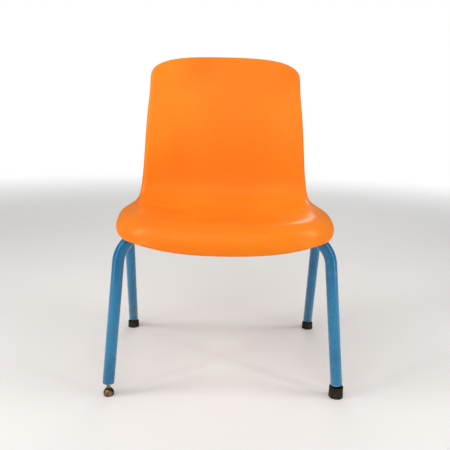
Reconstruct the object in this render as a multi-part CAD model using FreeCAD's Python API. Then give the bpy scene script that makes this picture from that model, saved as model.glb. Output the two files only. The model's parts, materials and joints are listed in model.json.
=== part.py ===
import FreeCAD, Part
import math
import os

from FreeCAD import Vector

# Nesting school chair: a one-piece moulded seat shell on a bent steel tube frame with swivel glides.
# Millimetres. X runs across the chair, the sitter faces -Y, +Z is up, and the floor is z = 0.

# Frame tube
TUBE_D = 19.05
TUBE_WALL = 1.6
BEND_R = 52.0
RAIL_D = 15.9
RAIL_WALL = 1.5
RAIL_X = 62.0
WELD_LEG = 2.6

# Front hoop
FRONT_FOOT_X = 185.4
FRONT_FOOT_Y = -138.2
FRONT_LEAN = 5.6
FRONT_SPLAY = 4.74
FRONT_BAR_Z = 265.0
FRONT_END_Z = 21.0

# Rear hoop
REAR_FOOT_X = 191.1
REAR_FOOT_Y = 138.2
REAR_LEAN = 20.2
REAR_SPLAY = 2.1
REAR_BAR_Z = 252.0
REAR_END_Z = 18.0

# Seat shell, its middle line from the front crest over the dished seat and up the back
WALL = 4.0
CREST_Y = -135.0
CREST_Z = 286.7
CREST_FLAT = 28.0
PAN_Y = -50.0
PAN_SHARE = 0.45
DISH_Y = 15.0
DISH_Z = 276.0
HEEL_Y = 74.0
HEEL_Z = 276.0
LUMBAR_Y = 99.0
LUMBAR_Z = 308.0
LUMBAR_RISE = 57.0
LUMBAR_LEAN = 10.0
TOP_Y = 157.0
TOP_Z = 563.3
TOP_STRAIGHT_Y = 28.0
TOP_STRAIGHT_Z = 115.0
TOP_END_Y = 8.0
TOP_END_Z = 45.0

# Half-widths of the shell's crest line, and the shares of its length where they are reached
FRONT_HALF = 144.0
SEAT_HALF = 155.0
HIP_HALF = 154.0
LOW_HALF = 149.4
MID_HALF = 145.7
TOP_HALF = 141.4
DISH_SHARE = 0.30
HIP_SHARE = 0.435
LOW_SHARE = 0.56
MID_SHARE = 0.75

# How far the sides stand above the middle line
FRONT_SAG = 3.0
SEAT_SAG = 13.0
HIP_SAG = 18.8
LOW_SAG = 18.0
TOP_SAG = 10.0
SAG_POWER = 2.4

# Rounded corners of the crest line, as superellipse lengths and exponents
SEAT_CORNER = 72.6
SEAT_CORNER_POWER = 2.75
BACK_CORNER = 45.0
BACK_CORNER_POWER = 3.0

# Rolled rim, outward reach and drop at each place round the shell
FRONT_ROLL = (37.5, 49.4)
CORNER_ROLL = (42.2, 38.7)
SIDE_ROLL = (43.6, 16.2)
SEAT_ROLL = (31.4, 13.0)
HIP_ROLL = (12.3, 12.0)
BACK_ROLL = (8.0, 8.0)
TOP_ROLL = (8.0, 7.5)
ROLL_ANGLE = 84.0
ROLL_POWER = 2.7
CREASE_ANGLE = 20.0
CORNER_ROLL_SHARE = 0.25
FULL_SAG_SHARE = 0.6

# Sampling of the shell surfaces
ACROSS = 18
ALONG = 40
END_CROWDING = 0.6
FLAT_STEPS = 5
ROLL_STEPS = 7
MARGIN = 24.0
SLOPE_STEP = 0.5
CREST_STEP = 0.02
HALVINGS = 40

# Fixing of the shell to the frame
BRACKET_X = 95.0
BRACKET_W = 30.0
BRACKET_T = 3.0
BRACKET_REACH = 22.0
BRACKET_END = 11.0
BRACKET_CORNER_R = 5.5
BRACKET_SEAT = 0.8
BRACKET_WELD_REACH = 10.0
BRACKET_WELD_DROP = 4.0
BRACKET_WELD_INSET = 4.0
BOSS_R = 9.0
BOSS_ROOT = 2.0
SCREW_R = 2.5
SCREW_HEAD_R = 4.8
SCREW_HEAD_H = 3.2
SCREW_HEAD_ROUND = 1.4
SCREW_SHORT = 0.5
SOCKET_R = 1.7
SOCKET_DEPTH = 1.8
WASHER_R = 6.5
WASHER_T = 1.0
HOLE_CLEARANCE = 0.3
INSERT_R = 4.2
INSERT_L = 6.0
INSERT_CLEARANCE = 0.05

# Swivel glides
TILT = 5.0
PLUG_L = 16.0
STEM_R = 3.0
STEM_IN = 11.0
NECK_R = 2.4
NECK_CLEAR = 1.2
BALL_R = 3.6
BALL_Z = 6.2
RACE_T = 1.05
RACE_HALF_H = 2.2
FIT = 0.05
BASE_R = 8.4
BASE_H = 10.6
BASE_TOP_R = 5.6
BASE_SHOULDER_Z = 6.0
BASE_SHOULDER_R = 2.2
MOUTH_LOW_R = 3.3
MOUTH_TOP_R = 4.3
BASE_EDGE = 0.6
BOOT_WALL = 2.85
BOOT_FLARE = 0.4
BOOT_RIM = 0.8
BOOT_CLEARANCE = 0.3

# Extra length of a cutting shape past the face it opens
OVERSHOOT = 1.0
SEW_GAP = 0.01
LEVEL_GAP = 0.01
SPLINE_DEGREE = 3

TUBE_R = TUBE_D / 2
RAIL_R = RAIL_D / 2


# Helpers

def blend(stations, x):
    """Smooth curve through (place, value) stations, level at both ends."""
    if x <= stations[0][0]:
        return stations[0][1]
    if x >= stations[-1][0]:
        return stations[-1][1]
    slopes = [0.0]
    for before, here, after in zip(stations, stations[1:], stations[2:]):
        left = (here[1] - before[1]) / (here[0] - before[0])
        right = (after[1] - here[1]) / (after[0] - here[0])
        slopes.append(2 * left * right / (left + right) if left * right > 0 else 0.0)
    slopes.append(0.0)
    i = max(k for k in range(len(stations) - 1) if stations[k][0] <= x)
    x0, y0 = stations[i]
    x1, y1 = stations[i + 1]
    span = x1 - x0
    t = (x - x0) / span
    start = (2 * t ** 3 - 3 * t ** 2 + 1) * y0 + (t ** 3 - 2 * t ** 2 + t) * span * slopes[i]
    end = (3 * t ** 2 - 2 * t ** 3) * y1 + (t ** 3 - t ** 2) * span * slopes[i + 1]
    return start + end


def unit(vector):
    """Copy of a vector with length one."""
    copy = Vector(vector)
    copy.normalize()
    return copy


def rounding(share, power):
    """Superellipse quarter: 0 at the nose, 1 where the corner ends."""
    return (1 - (1 - min(max(share, 0.0), 1.0)) ** power) ** (1 / power)


def spline_poles(points):
    """Poles of the even cubic spline that runs through the points."""
    curve = Part.BSplineCurve()
    curve.interpolate(Points=points, Parameters=[float(i) for i in range(len(points))])
    return curve.getPoles()


def patch_poles(rows):
    """Pole net of the cubic patch that runs through a grid of points."""
    row_poles = [spline_poles(row) for row in rows]
    column_poles = [spline_poles(list(column)) for column in zip(*row_poles)]
    return [list(row) for row in zip(*column_poles)]


def patch(poles, first_degree=3):
    """Face of a pole net, with even knots."""
    def knots(count, degree):
        inner = count - degree
        values = [float(i) for i in range(inner + 1)]
        counts = [degree + 1] + [1] * (inner - 1) + [degree + 1]
        return values, counts

    u_values, u_counts = knots(len(poles), first_degree)
    v_values, v_counts = knots(len(poles[0]), 3)
    surface = Part.BSplineSurface()
    surface.buildFromPolesMultsKnots(
        poles, u_counts, v_counts, u_values, v_values, False, False, first_degree, 3
    )
    return surface.toShape()


def cylinder(radius, z0, z1, x=0.0, y=0.0):
    """Upright cylinder between two heights."""
    return Part.makeCylinder(radius, z1 - z0, Vector(x, y, z0))


def turned(profile):
    """Solid of revolution about Z from (radius, height) points."""
    points = [Vector(r, 0, z) for r, z in profile]
    face = Part.Face(Part.makePolygon(points + points[:1]))
    return face.revolve(Vector(0, 0, 0), Vector(0, 0, 1), 360)


# Seat shell

class SeatShell:
    """One-piece moulded shell: a dished sheet on a middle line, with a rolled rim all round."""

    def __init__(self):
        poles = [
            (CREST_Y, CREST_Z),
            (CREST_Y + CREST_FLAT, CREST_Z),
            (PAN_Y, PAN_SHARE * CREST_Z + (1 - PAN_SHARE) * DISH_Z),
            (DISH_Y, DISH_Z),
            (HEEL_Y, HEEL_Z),
            (LUMBAR_Y, LUMBAR_Z),
            (LUMBAR_Y + LUMBAR_LEAN, LUMBAR_Z + LUMBAR_RISE),
            (TOP_Y - TOP_STRAIGHT_Y, TOP_Z - TOP_STRAIGHT_Z),
            (TOP_Y - TOP_END_Y, TOP_Z - TOP_END_Z),
            (TOP_Y, TOP_Z),
        ]
        spans = len(poles) - SPLINE_DEGREE
        self.curve = Part.BSplineCurve()
        self.curve.buildFromPolesMultsKnots(
            [Vector(0, y, z) for y, z in poles],
            [SPLINE_DEGREE + 1] + [1] * (spans - 1) + [SPLINE_DEGREE + 1],
            [float(i) for i in range(spans + 1)],
            False,
            SPLINE_DEGREE,
        )
        self.length = self.curve.length()
        self.dish_s = DISH_SHARE * self.length
        self.hip_s = HIP_SHARE * self.length
        self.low_s = LOW_SHARE * self.length
        self.mid_s = MID_SHARE * self.length
        self.corner_s = self.length - BACK_CORNER
        self.spine_cache = {}

    def spine(self, s):
        """Point and unit direction of the middle line at a length along it."""
        key = round(s, 5)
        if key not in self.spine_cache:
            inside = min(max(s, 1e-6), self.length - 1e-6)
            at = self.curve.parameterAtDistance(inside, self.curve.FirstParameter)
            self.spine_cache[key] = (self.curve.value(at), self.curve.tangent(at)[0])
        return self.spine_cache[key]

    def half_width(self, s):
        """Half-width of the crest line, without its rounded corners."""
        stations = [
            (SEAT_CORNER, FRONT_HALF),
            (self.dish_s, SEAT_HALF),
            (self.hip_s, HIP_HALF),
            (self.low_s, LOW_HALF),
            (self.mid_s, MID_HALF),
            (self.corner_s, TOP_HALF),
        ]
        return blend(stations, s)

    def sag(self, s):
        """Height of the sides above the middle line."""
        stations = [
            (0.0, FRONT_SAG),
            (self.dish_s * FULL_SAG_SHARE, SEAT_SAG),
            (self.hip_s, HIP_SAG),
            (self.low_s, LOW_SAG),
            (self.length, TOP_SAG),
        ]
        return blend(stations, s)

    def roll(self, s):
        """Reach and drop of the rolled rim beside a length along the middle line."""
        places = [
            SEAT_CORNER * CORNER_ROLL_SHARE,
            SEAT_CORNER,
            self.dish_s,
            self.hip_s,
            self.low_s,
            self.corner_s,
            self.length,
        ]
        sizes = [CORNER_ROLL, SIDE_ROLL, SEAT_ROLL, HIP_ROLL, BACK_ROLL, BACK_ROLL, TOP_ROLL]
        reach = blend([(place, size[0]) for place, size in zip(places, sizes)], s)
        drop = blend([(place, size[1]) for place, size in zip(places, sizes)], s)
        return reach, drop

    def crease(self, s):
        """Angle at which the rolled rim leaves the sheet downwards, beside the seat."""
        stations = [
            (0.0, 0.0),
            (SEAT_CORNER, CREASE_ANGLE),
            (self.hip_s, CREASE_ANGLE),
            (self.low_s, 0.0),
        ]
        return blend(stations, s)

    def sheet(self, a, s):
        """Point of the dished sheet, a across and s along."""
        point, along = self.spine(s)
        lift = self.sag(s) * (abs(a) / self.half_width(s)) ** SAG_POWER
        return Vector(a, point.y - along.z * lift, point.z + along.y * lift)

    def normal(self, a, s):
        """Unit normal of the sheet on the sitter's side."""
        across = self.sheet(a + SLOPE_STEP, s) - self.sheet(a - SLOPE_STEP, s)
        ahead = self.sheet(a, min(s + SLOPE_STEP, self.length))
        along = ahead - self.sheet(a, max(s - SLOPE_STEP, 0.0))
        return unit(across.cross(along))

    def crest_half(self, s):
        """Half-width of the crest line at a length along the middle line, corners included."""
        front = rounding(s / SEAT_CORNER, SEAT_CORNER_POWER)
        back = rounding((self.length - s) / BACK_CORNER, BACK_CORNER_POWER)
        return self.half_width(s) * front * back

    def corner(self, at_front):
        """Middle of a rounded corner of the crest line."""
        length, power = (SEAT_CORNER, SEAT_CORNER_POWER) if at_front else (BACK_CORNER, BACK_CORNER_POWER)
        share = 2 ** (-1 / power)
        s = length * (1 - share) if at_front else self.length - length * (1 - share)
        return self.crest_half(s), s

    def field_corner(self, at_front):
        """Corner of the plain field inside the rim."""
        a, s = self.corner(at_front)
        return a - MARGIN, s + MARGIN if at_front else s - MARGIN

    def end_crest(self, at_front, u):
        """Crest line across the front or the top, u from -1 to 1."""
        a_corner, s_corner = self.corner(at_front)
        length, power = (SEAT_CORNER, SEAT_CORNER_POWER) if at_front else (BACK_CORNER, BACK_CORNER_POWER)
        width = a_corner / 2 ** (-1 / power)
        a = a_corner * u
        s = length * (1 - (1 - (abs(a) / width) ** power) ** (1 / power))
        return a, s if at_front else self.length - s

    def section(self, field, crest, reach, drop, crease):
        """Outer and inner points from the plain field over the crest and round the rolled rim."""
        outer = []
        inner = []
        flat = (self.sheet(*crest) - self.sheet(*field)).Length
        roll_step = math.radians(ROLL_ANGLE) * math.hypot(reach, drop) / math.sqrt(2) / ROLL_STEPS
        grading = math.log(flat / roll_step) / math.log(FLAT_STEPS)
        for i in range(FLAT_STEPS + 1):
            t = 1 - (1 - i / FLAT_STEPS) ** grading
            a = field[0] + (crest[0] - field[0]) * t
            s = field[1] + (crest[1] - field[1]) * t
            point = self.sheet(a, s)
            outer.append(point)
            inner.append(point - self.normal(a, s) * WALL)
        top = outer[-1]
        before = self.sheet(
            crest[0] + (field[0] - crest[0]) * CREST_STEP,
            crest[1] + (field[1] - crest[1]) * CREST_STEP,
        )
        outward = unit(top - before)
        up = self.normal(*crest)
        up = unit(up - outward * up.dot(outward))
        turn = math.radians(crease)
        away = outward * math.cos(turn) - up * math.sin(turn)
        over = outward * math.sin(turn) + up * math.cos(turn)
        for i in range(1, ROLL_STEPS + 1):
            angle = (math.radians(ROLL_ANGLE) - turn) * i / ROLL_STEPS
            point = top + away * (reach * math.sin(angle)) - over * (drop * (1 - math.cos(angle)))
            facing = unit(away * (drop * math.sin(angle)) + over * (reach * math.cos(angle)))
            outer.append(point)
            inner.append(point - facing * WALL)
        return outer, inner

    def crowded(self, t):
        """Share of a side's length, with the sections closer together at its ends."""
        return t - END_CROWDING * math.sin(2 * math.pi * t) / (2 * math.pi)

    def side_strip(self, sign):
        """Sections of the strip down one side."""
        a0, s0 = self.field_corner(True)
        a1, s1 = self.field_corner(False)
        start = self.corner(True)[1]
        end = self.corner(False)[1]
        sections = []
        for j in range(ALONG + 1):
            t = self.crowded(j / ALONG)
            s = start + (end - start) * t
            field = (sign * (a0 + (a1 - a0) * t), s0 + (s1 - s0) * t)
            crest = (sign * self.crest_half(s), s)
            sections.append(self.section(field, crest, *self.roll(s), self.crease(s)))
        return sections

    def end_strip(self, at_front):
        """Sections of the strip across the front or the top."""
        a_field, s_field = self.field_corner(at_front)
        corner_s = self.corner(at_front)[1]
        corner_roll = self.roll(corner_s)
        middle_roll = FRONT_ROLL if at_front else TOP_ROLL
        sections = []
        for i in range(ACROSS + 1):
            u = 2 * i / ACROSS - 1
            share = abs(u) ** ROLL_POWER
            reach = middle_roll[0] * (1 - share) + corner_roll[0] * share
            drop = middle_roll[1] * (1 - share) + corner_roll[1] * share
            crease = self.crease(corner_s) * share
            crest = self.end_crest(at_front, u)
            sections.append(self.section((a_field * u, s_field), crest, reach, drop, crease))
        return sections

    def field(self):
        """Outer and inner grids of the plain field inside the rim."""
        a0, s0 = self.field_corner(True)
        a1, s1 = self.field_corner(False)
        outer = []
        inner = []
        for j in range(ALONG + 1):
            t = self.crowded(j / ALONG)
            half = a0 + (a1 - a0) * t
            s = s0 + (s1 - s0) * t
            places = [half * (2 * i / ACROSS - 1) for i in range(ACROSS + 1)]
            outer.append([self.sheet(a, s) for a in places])
            inner.append([self.sheet(a, s) - self.normal(a, s) * WALL for a in places])
        return outer, inner

    def solid(self):
        """Closed solid of the sheet with its rolled rim."""
        faces = [patch(patch_poles(grid)) for grid in self.field()]
        strips = [self.side_strip(1), self.side_strip(-1), self.end_strip(True), self.end_strip(False)]
        for strip in strips:
            outer = patch_poles([section[0] for section in strip])
            inner = patch_poles([section[1] for section in strip])
            faces.append(patch(outer))
            faces.append(patch(inner))
            faces.append(patch([[row[-1] for row in outer], [row[-1] for row in inner]], 1))
        skin = Part.Compound(faces)
        skin.sewShape(SEW_GAP)
        solid = Part.Solid(skin.Shells[0])
        if solid.Volume < 0:
            solid.reverse()
        return solid

    def under(self, x, y):
        """Height of the underside at a place of the seat."""
        low = 0.0
        high = self.hip_s
        for _ in range(HALVINGS):
            middle = (low + high) / 2
            if self.sheet(x, middle).y < y:
                low = middle
            else:
                high = middle
        normal = self.normal(x, low)
        return self.sheet(x, low).z - WALL / normal.z


# Frame

class Hoop:
    """Tube bent to an inverted U: two legs and the crossbar under the seat."""

    def __init__(self, foot_x, foot_y, lean, splay, bar_z, end_z):
        self.foot_x = foot_x
        self.foot_y = foot_y
        self.end_z = end_z
        self.bar_z = bar_z
        self.forward = -1 if foot_y < 0 else 1
        tilt = math.radians(lean)
        self.plane_up = Vector(0, -self.forward * math.sin(tilt), math.cos(tilt))
        slope = math.radians(splay)
        self.height = (bar_z - end_z) / self.plane_up.z
        self.leg_out = unit(Vector(-math.sin(slope), 0, 0) + self.plane_up * math.cos(slope))
        self.turn = math.pi / 2 - slope
        self.corner_x = foot_x - self.height * math.tan(slope)

    def point(self, x, height):
        """Point of the hoop's plane, at a height along it above the tube ends."""
        base = Vector(0, self.foot_y, self.end_z)
        return Vector(x, 0, 0) + base + self.plane_up * height

    def leg_axis(self, sign):
        """Unit direction up a leg."""
        return Vector(sign * self.leg_out.x, self.leg_out.y, self.leg_out.z)

    def bar_y(self):
        """Depth of the crossbar's middle line."""
        return self.point(0, self.height).y

    def path(self, extend=0.0):
        """Middle line of the tube, with both ends lengthened by extend."""
        tangent = BEND_R * math.tan(self.turn / 2)
        sides = []
        for sign in (-1, 1):
            axis = self.leg_axis(sign)
            foot = self.point(sign * self.foot_x, 0) - axis * extend
            corner = self.point(sign * self.corner_x, self.height)
            start = corner - axis * tangent
            end = corner - Vector(sign * tangent, 0, 0)
            inward = unit((start - corner) + (end - corner))
            middle = corner + inward * (BEND_R / math.cos(self.turn / 2) - BEND_R)
            sides.append((foot, start, middle, end))
        left, right = sides
        return Part.Wire([
            Part.makeLine(left[0], left[1]),
            Part.Arc(left[1], left[2], left[3]).toShape(),
            Part.makeLine(left[3], right[3]),
            Part.Arc(right[3], right[2], right[1]).toShape(),
            Part.makeLine(right[1], right[0]),
        ])

    def rod(self, radius, extend=0.0):
        """Solid rod of a radius along the middle line."""
        path = self.path(extend)
        axis = self.leg_axis(-1)
        foot = self.point(-self.foot_x, 0) - axis * extend
        profile = Part.Wire(Part.makeCircle(radius, foot, axis))
        return path.makePipeShell([profile], True, False)

    def tube(self):
        """Hollow tube, its ends cut square."""
        return self.rod(TUBE_R).cut(self.rod(TUBE_R - TUBE_WALL, OVERSHOOT))


def rail(front, rear, sign):
    """Straight tube between the two crossbars, coped to sit on them."""
    start = Vector(sign * RAIL_X, front.bar_y(), front.bar_z)
    end = Vector(sign * RAIL_X, rear.bar_y(), rear.bar_z)
    reach = end - start
    outer = Part.makeCylinder(RAIL_R, reach.Length, start, reach)
    inner = Part.makeCylinder(RAIL_R - RAIL_WALL, reach.Length, start, reach)
    tube = outer.cut(inner)
    return tube.cut(front.rod(TUBE_R)).cut(rear.rod(TUBE_R))


def rail_weld(front, rear, sign, at_front):
    """Weld fillet round one end of a side rail."""
    near, far = (front, rear) if at_front else (rear, front)
    start = Vector(sign * RAIL_X, near.bar_y(), near.bar_z)
    end = Vector(sign * RAIL_X, far.bar_y(), far.bar_z)
    length = TUBE_R + WELD_LEG
    collar = Part.makeCone(RAIL_R + 2 * WELD_LEG, RAIL_R, length, start, end - start)
    core = Part.makeCylinder(RAIL_R, length + WELD_LEG, start, end - start)
    bead = collar.cut(core).cut(near.rod(TUBE_R))
    return bead.Solids[0]


class Fixing:
    """Bracket, boss, insert, washer and screw at one corner of the seat."""

    def __init__(self, hoop, shell, sign):
        self.hoop = hoop
        self.x = sign * BRACKET_X
        self.inward = -hoop.forward
        self.y = hoop.bar_y() + self.inward * BRACKET_REACH
        self.bottom_z = hoop.bar_z + TUBE_R - BRACKET_SEAT
        self.top_z = self.bottom_z + BRACKET_T
        self.under_z = shell.under(self.x, self.y)

    def bracket(self):
        """Flat plate on top of the crossbar, with the screw hole beyond the tube."""
        y_back = self.hoop.bar_y() - self.inward * TUBE_R
        y_front = self.y + self.inward * BRACKET_END
        y_low, y_high = min(y_back, y_front), max(y_back, y_front)
        corner = Vector(self.x - BRACKET_W / 2, y_low, self.bottom_z)
        plate = Part.makeBox(BRACKET_W, y_high - y_low, BRACKET_T, corner)
        uprights = [e for e in plate.Edges if abs(e.tangentAt(e.FirstParameter).z) > 0.9]
        plate = plate.makeFillet(BRACKET_CORNER_R, uprights)
        hole_r = SCREW_R + HOLE_CLEARANCE
        hole = cylinder(hole_r, self.bottom_z - OVERSHOOT, self.top_z + OVERSHOOT, self.x, self.y)
        return plate.cut(hole).cut(self.hoop.rod(TUBE_R))

    def weld(self):
        """Weld bead in the corner between the bracket and the crossbar."""
        bar_y = self.hoop.bar_y()
        low_z = self.bottom_z - BRACKET_WELD_DROP
        toe = math.sqrt(TUBE_R ** 2 - (low_z - self.hoop.bar_z) ** 2)
        corners = [
            (0.0, self.bottom_z),
            (BRACKET_WELD_REACH, self.bottom_z),
            (toe, low_z),
            (0.0, self.bottom_z),
        ]
        start_x = self.x - BRACKET_W / 2 + BRACKET_WELD_INSET
        points = [Vector(start_x, bar_y + self.inward * depth, z) for depth, z in corners]
        length = BRACKET_W - 2 * BRACKET_WELD_INSET
        bead = Part.Face(Part.makePolygon(points)).extrude(Vector(length, 0, 0))
        return bead.cut(self.hoop.rod(TUBE_R))

    def boss(self):
        """Moulded boss under the seat."""
        return cylinder(BOSS_R, self.top_z, self.under_z + BOSS_ROOT, self.x, self.y)

    def pocket(self):
        """Blind hole of the boss for its insert."""
        return cylinder(INSERT_R, self.top_z - OVERSHOOT, self.top_z + INSERT_L, self.x, self.y)

    def insert(self):
        """Threaded insert in the boss."""
        end_z = self.top_z + INSERT_L
        bore_r = SCREW_R + INSERT_CLEARANCE
        ring = cylinder(INSERT_R, self.top_z, end_z, self.x, self.y)
        return ring.cut(cylinder(bore_r, self.top_z - OVERSHOOT, end_z + OVERSHOOT, self.x, self.y))

    def washer(self):
        """Washer under the bracket."""
        low = self.bottom_z - WASHER_T
        bore_r = SCREW_R + HOLE_CLEARANCE
        ring = cylinder(WASHER_R, low, self.bottom_z, self.x, self.y)
        return ring.cut(cylinder(bore_r, low - OVERSHOOT, self.bottom_z + OVERSHOOT, self.x, self.y))

    def screw(self):
        """Pan-head screw, driven from below."""
        seat_z = self.bottom_z - WASHER_T
        low_z = seat_z - SCREW_HEAD_H
        head = cylinder(SCREW_HEAD_R, low_z, seat_z, self.x, self.y)
        rim = [e for e in head.Edges if abs(e.BoundBox.ZMax - low_z) < LEVEL_GAP]
        head = head.makeFillet(SCREW_HEAD_ROUND, rim)
        shank = cylinder(SCREW_R, seat_z, self.top_z + INSERT_L - SCREW_SHORT, self.x, self.y)
        points = []
        for k in range(7):
            angle = math.radians(60 * k)
            x = self.x + SOCKET_R * math.cos(angle)
            y = self.y + SOCKET_R * math.sin(angle)
            points.append(Vector(x, y, low_z - OVERSHOOT))
        recess = Part.Face(Part.makePolygon(points)).extrude(Vector(0, 0, SOCKET_DEPTH + OVERSHOOT))
        return head.fuse(shank).removeSplitter().cut(recess)


class Glide:
    """Swivel glide at one foot: plug in the tube, ball stud, race ring, base and rubber boot."""

    def __init__(self, hoop, sign):
        self.axis = hoop.leg_axis(sign)
        self.end = hoop.point(sign * hoop.foot_x, 0)
        self.x = self.end.x
        self.y = self.end.y
        lowest = self.end.z - TUBE_R * math.sqrt(1 - self.axis.z ** 2)
        both_ways = math.radians(TILT) * math.sqrt(2)
        swing = (BASE_R + BOOT_WALL) * math.sin(both_ways)
        self.boot_top = lowest - swing - BOOT_CLEARANCE

    def place(self, shape):
        """Shape moved from the origin to this foot."""
        moved = shape.copy()
        moved.translate(Vector(self.x, self.y, 0))
        return moved

    def plug(self):
        """Plug pressed into the tube end, bored upright for the stem."""
        body = Part.makeCylinder(TUBE_R - TUBE_WALL, PLUG_L, self.end, self.axis)
        bore = cylinder(STEM_R, self.end.z - TUBE_R, self.end.z + STEM_IN, self.x, self.y)
        return body.cut(bore)

    def stud(self):
        """Stem, neck and ball in one piece."""
        ball = Part.makeSphere(BALL_R, Vector(0, 0, BALL_Z))
        shoulder = BASE_H + NECK_CLEAR
        neck = cylinder(NECK_R, BALL_Z, shoulder)
        stem = cylinder(STEM_R, shoulder, self.end.z + STEM_IN)
        return self.place(ball.fuse([neck, stem]).removeSplitter())

    def race(self):
        """Spherical ring between ball and base."""
        outer = Part.makeSphere(BALL_R + FIT + RACE_T, Vector(0, 0, BALL_Z))
        inner = Part.makeSphere(BALL_R + FIT, Vector(0, 0, BALL_Z))
        band = cylinder(BASE_R, BALL_Z - RACE_HALF_H, BALL_Z + RACE_HALF_H)
        return self.place(outer.common(band).cut(inner))

    def base(self):
        """Bell-shaped base with a ball cavity and a mouth for the neck."""
        profile = [
            (0, 0),
            (BASE_R - BASE_EDGE, 0),
            (BASE_R, BASE_EDGE),
            (BASE_R, BASE_SHOULDER_Z),
            (BASE_TOP_R, BASE_H),
            (0, BASE_H),
        ]
        bell = turned(profile)
        level = [e for e in bell.Edges if e.BoundBox.ZLength < LEVEL_GAP]
        shoulder = [e for e in level if abs(e.BoundBox.ZMin - BASE_SHOULDER_Z) < LEVEL_GAP]
        bell = bell.makeFillet(BASE_SHOULDER_R, shoulder)
        cavity = Part.makeSphere(BALL_R + 2 * FIT + RACE_T, Vector(0, 0, BALL_Z))
        height = BASE_H - BALL_Z + OVERSHOOT
        mouth = Part.makeCone(MOUTH_LOW_R, MOUTH_TOP_R, height, Vector(0, 0, BALL_Z))
        return self.place(bell.cut(cavity).cut(mouth))

    def boot(self):
        """Rubber boot pressed round the base."""
        outer_r = BASE_R + BOOT_WALL
        profile = [
            (BASE_R, 0),
            (outer_r + BOOT_FLARE - BOOT_RIM, 0),
            (outer_r + BOOT_FLARE, BOOT_RIM),
            (outer_r, self.boot_top / 2),
            (outer_r, self.boot_top - BOOT_RIM),
            (outer_r - BOOT_RIM, self.boot_top),
            (BASE_R, self.boot_top),
        ]
        return self.place(turned(profile))


# Assembly

def build():
    """Make every piece, by node name."""
    shell = SeatShell()
    front = Hoop(FRONT_FOOT_X, FRONT_FOOT_Y, FRONT_LEAN, FRONT_SPLAY, FRONT_BAR_Z, FRONT_END_Z)
    rear = Hoop(REAR_FOOT_X, REAR_FOOT_Y, REAR_LEAN, REAR_SPLAY, REAR_BAR_Z, REAR_END_Z)
    corners = {"fl": (front, -1), "fr": (front, 1), "rl": (rear, -1), "rr": (rear, 1)}
    fixings = {name: Fixing(hoop, shell, sign) for name, (hoop, sign) in corners.items()}
    glides = {name: Glide(hoop, sign) for name, (hoop, sign) in corners.items()}

    moulding = shell.solid().fuse([fixing.boss() for fixing in fixings.values()])
    for fixing in fixings.values():
        moulding = moulding.cut(fixing.pocket())

    nodes = {
        "seat_shell": moulding,
        "front_hoop": front.tube(),
        "rear_hoop": rear.tube(),
        "side_rail_left": rail(front, rear, -1),
        "side_rail_right": rail(front, rear, 1),
        "rail_welds": Part.Compound([
            rail_weld(front, rear, sign, at_front) for sign in (-1, 1) for at_front in (True, False)
        ]),
        "bracket_welds": Part.Compound([fixing.weld() for fixing in fixings.values()]),
        "boss_inserts": Part.Compound([fixing.insert() for fixing in fixings.values()]),
        "screw_washers": Part.Compound([fixing.washer() for fixing in fixings.values()]),
        "seat_screws": Part.Compound([fixing.screw() for fixing in fixings.values()]),
    }
    for name, fixing in fixings.items():
        nodes["seat_bracket_" + name] = fixing.bracket()
    for name, glide in glides.items():
        nodes["glide_plug_" + name] = glide.plug()
        nodes["glide_stud_" + name] = glide.stud()
        nodes["glide_race_" + name] = glide.race()
        nodes["glide_base_" + name] = glide.base()
        if name != "fl":
            nodes["glide_boot_" + name] = glide.boot()
    return nodes


def centred(nodes):
    """Move the chair so that its overall box stands centred on the origin."""
    box = Part.Compound(list(nodes.values())).BoundBox
    shift = Vector(0, -(box.YMin + box.YMax) / 2, 0)
    for shape in nodes.values():
        shape.translate(shift)
    return shift


NODES = build()
SHIFT = centred(NODES)

os.makedirs("parts", exist_ok=True)
for node, shape in NODES.items():
    shape.exportStep("parts/" + node + ".step")
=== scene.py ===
import json
import logging
import math
from dataclasses import dataclass, replace
from enum import Enum
from functools import lru_cache
from typing import Dict, List, Optional, Sequence, Tuple

import bpy
from mathutils import Matrix, Vector

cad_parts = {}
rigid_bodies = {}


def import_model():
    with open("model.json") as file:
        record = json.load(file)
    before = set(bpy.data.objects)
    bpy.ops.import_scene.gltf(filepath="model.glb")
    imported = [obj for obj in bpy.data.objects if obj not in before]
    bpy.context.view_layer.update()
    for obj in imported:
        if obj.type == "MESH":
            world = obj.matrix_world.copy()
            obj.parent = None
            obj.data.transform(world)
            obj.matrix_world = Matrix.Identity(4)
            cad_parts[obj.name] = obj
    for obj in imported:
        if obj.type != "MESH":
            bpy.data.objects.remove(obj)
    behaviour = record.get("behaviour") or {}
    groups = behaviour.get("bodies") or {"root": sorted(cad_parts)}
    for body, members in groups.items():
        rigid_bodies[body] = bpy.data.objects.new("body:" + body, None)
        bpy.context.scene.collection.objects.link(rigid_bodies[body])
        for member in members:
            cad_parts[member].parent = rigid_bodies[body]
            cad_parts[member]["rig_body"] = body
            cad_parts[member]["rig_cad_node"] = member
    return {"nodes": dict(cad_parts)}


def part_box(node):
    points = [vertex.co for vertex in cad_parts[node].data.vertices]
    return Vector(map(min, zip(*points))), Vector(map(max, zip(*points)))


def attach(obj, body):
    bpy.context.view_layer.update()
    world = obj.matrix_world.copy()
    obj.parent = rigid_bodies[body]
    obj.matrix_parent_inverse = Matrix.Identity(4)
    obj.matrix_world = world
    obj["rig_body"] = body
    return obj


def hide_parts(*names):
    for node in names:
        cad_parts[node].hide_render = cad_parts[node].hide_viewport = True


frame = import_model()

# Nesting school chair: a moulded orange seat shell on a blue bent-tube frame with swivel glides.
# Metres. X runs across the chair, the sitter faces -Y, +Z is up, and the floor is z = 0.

LOG = logging.getLogger("nesting_chair")
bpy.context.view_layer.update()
FRAME_BODY = "frame"
# Depth of the feet's centres before and behind the middle between them
FOOT_Y = 0.1382

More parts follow.
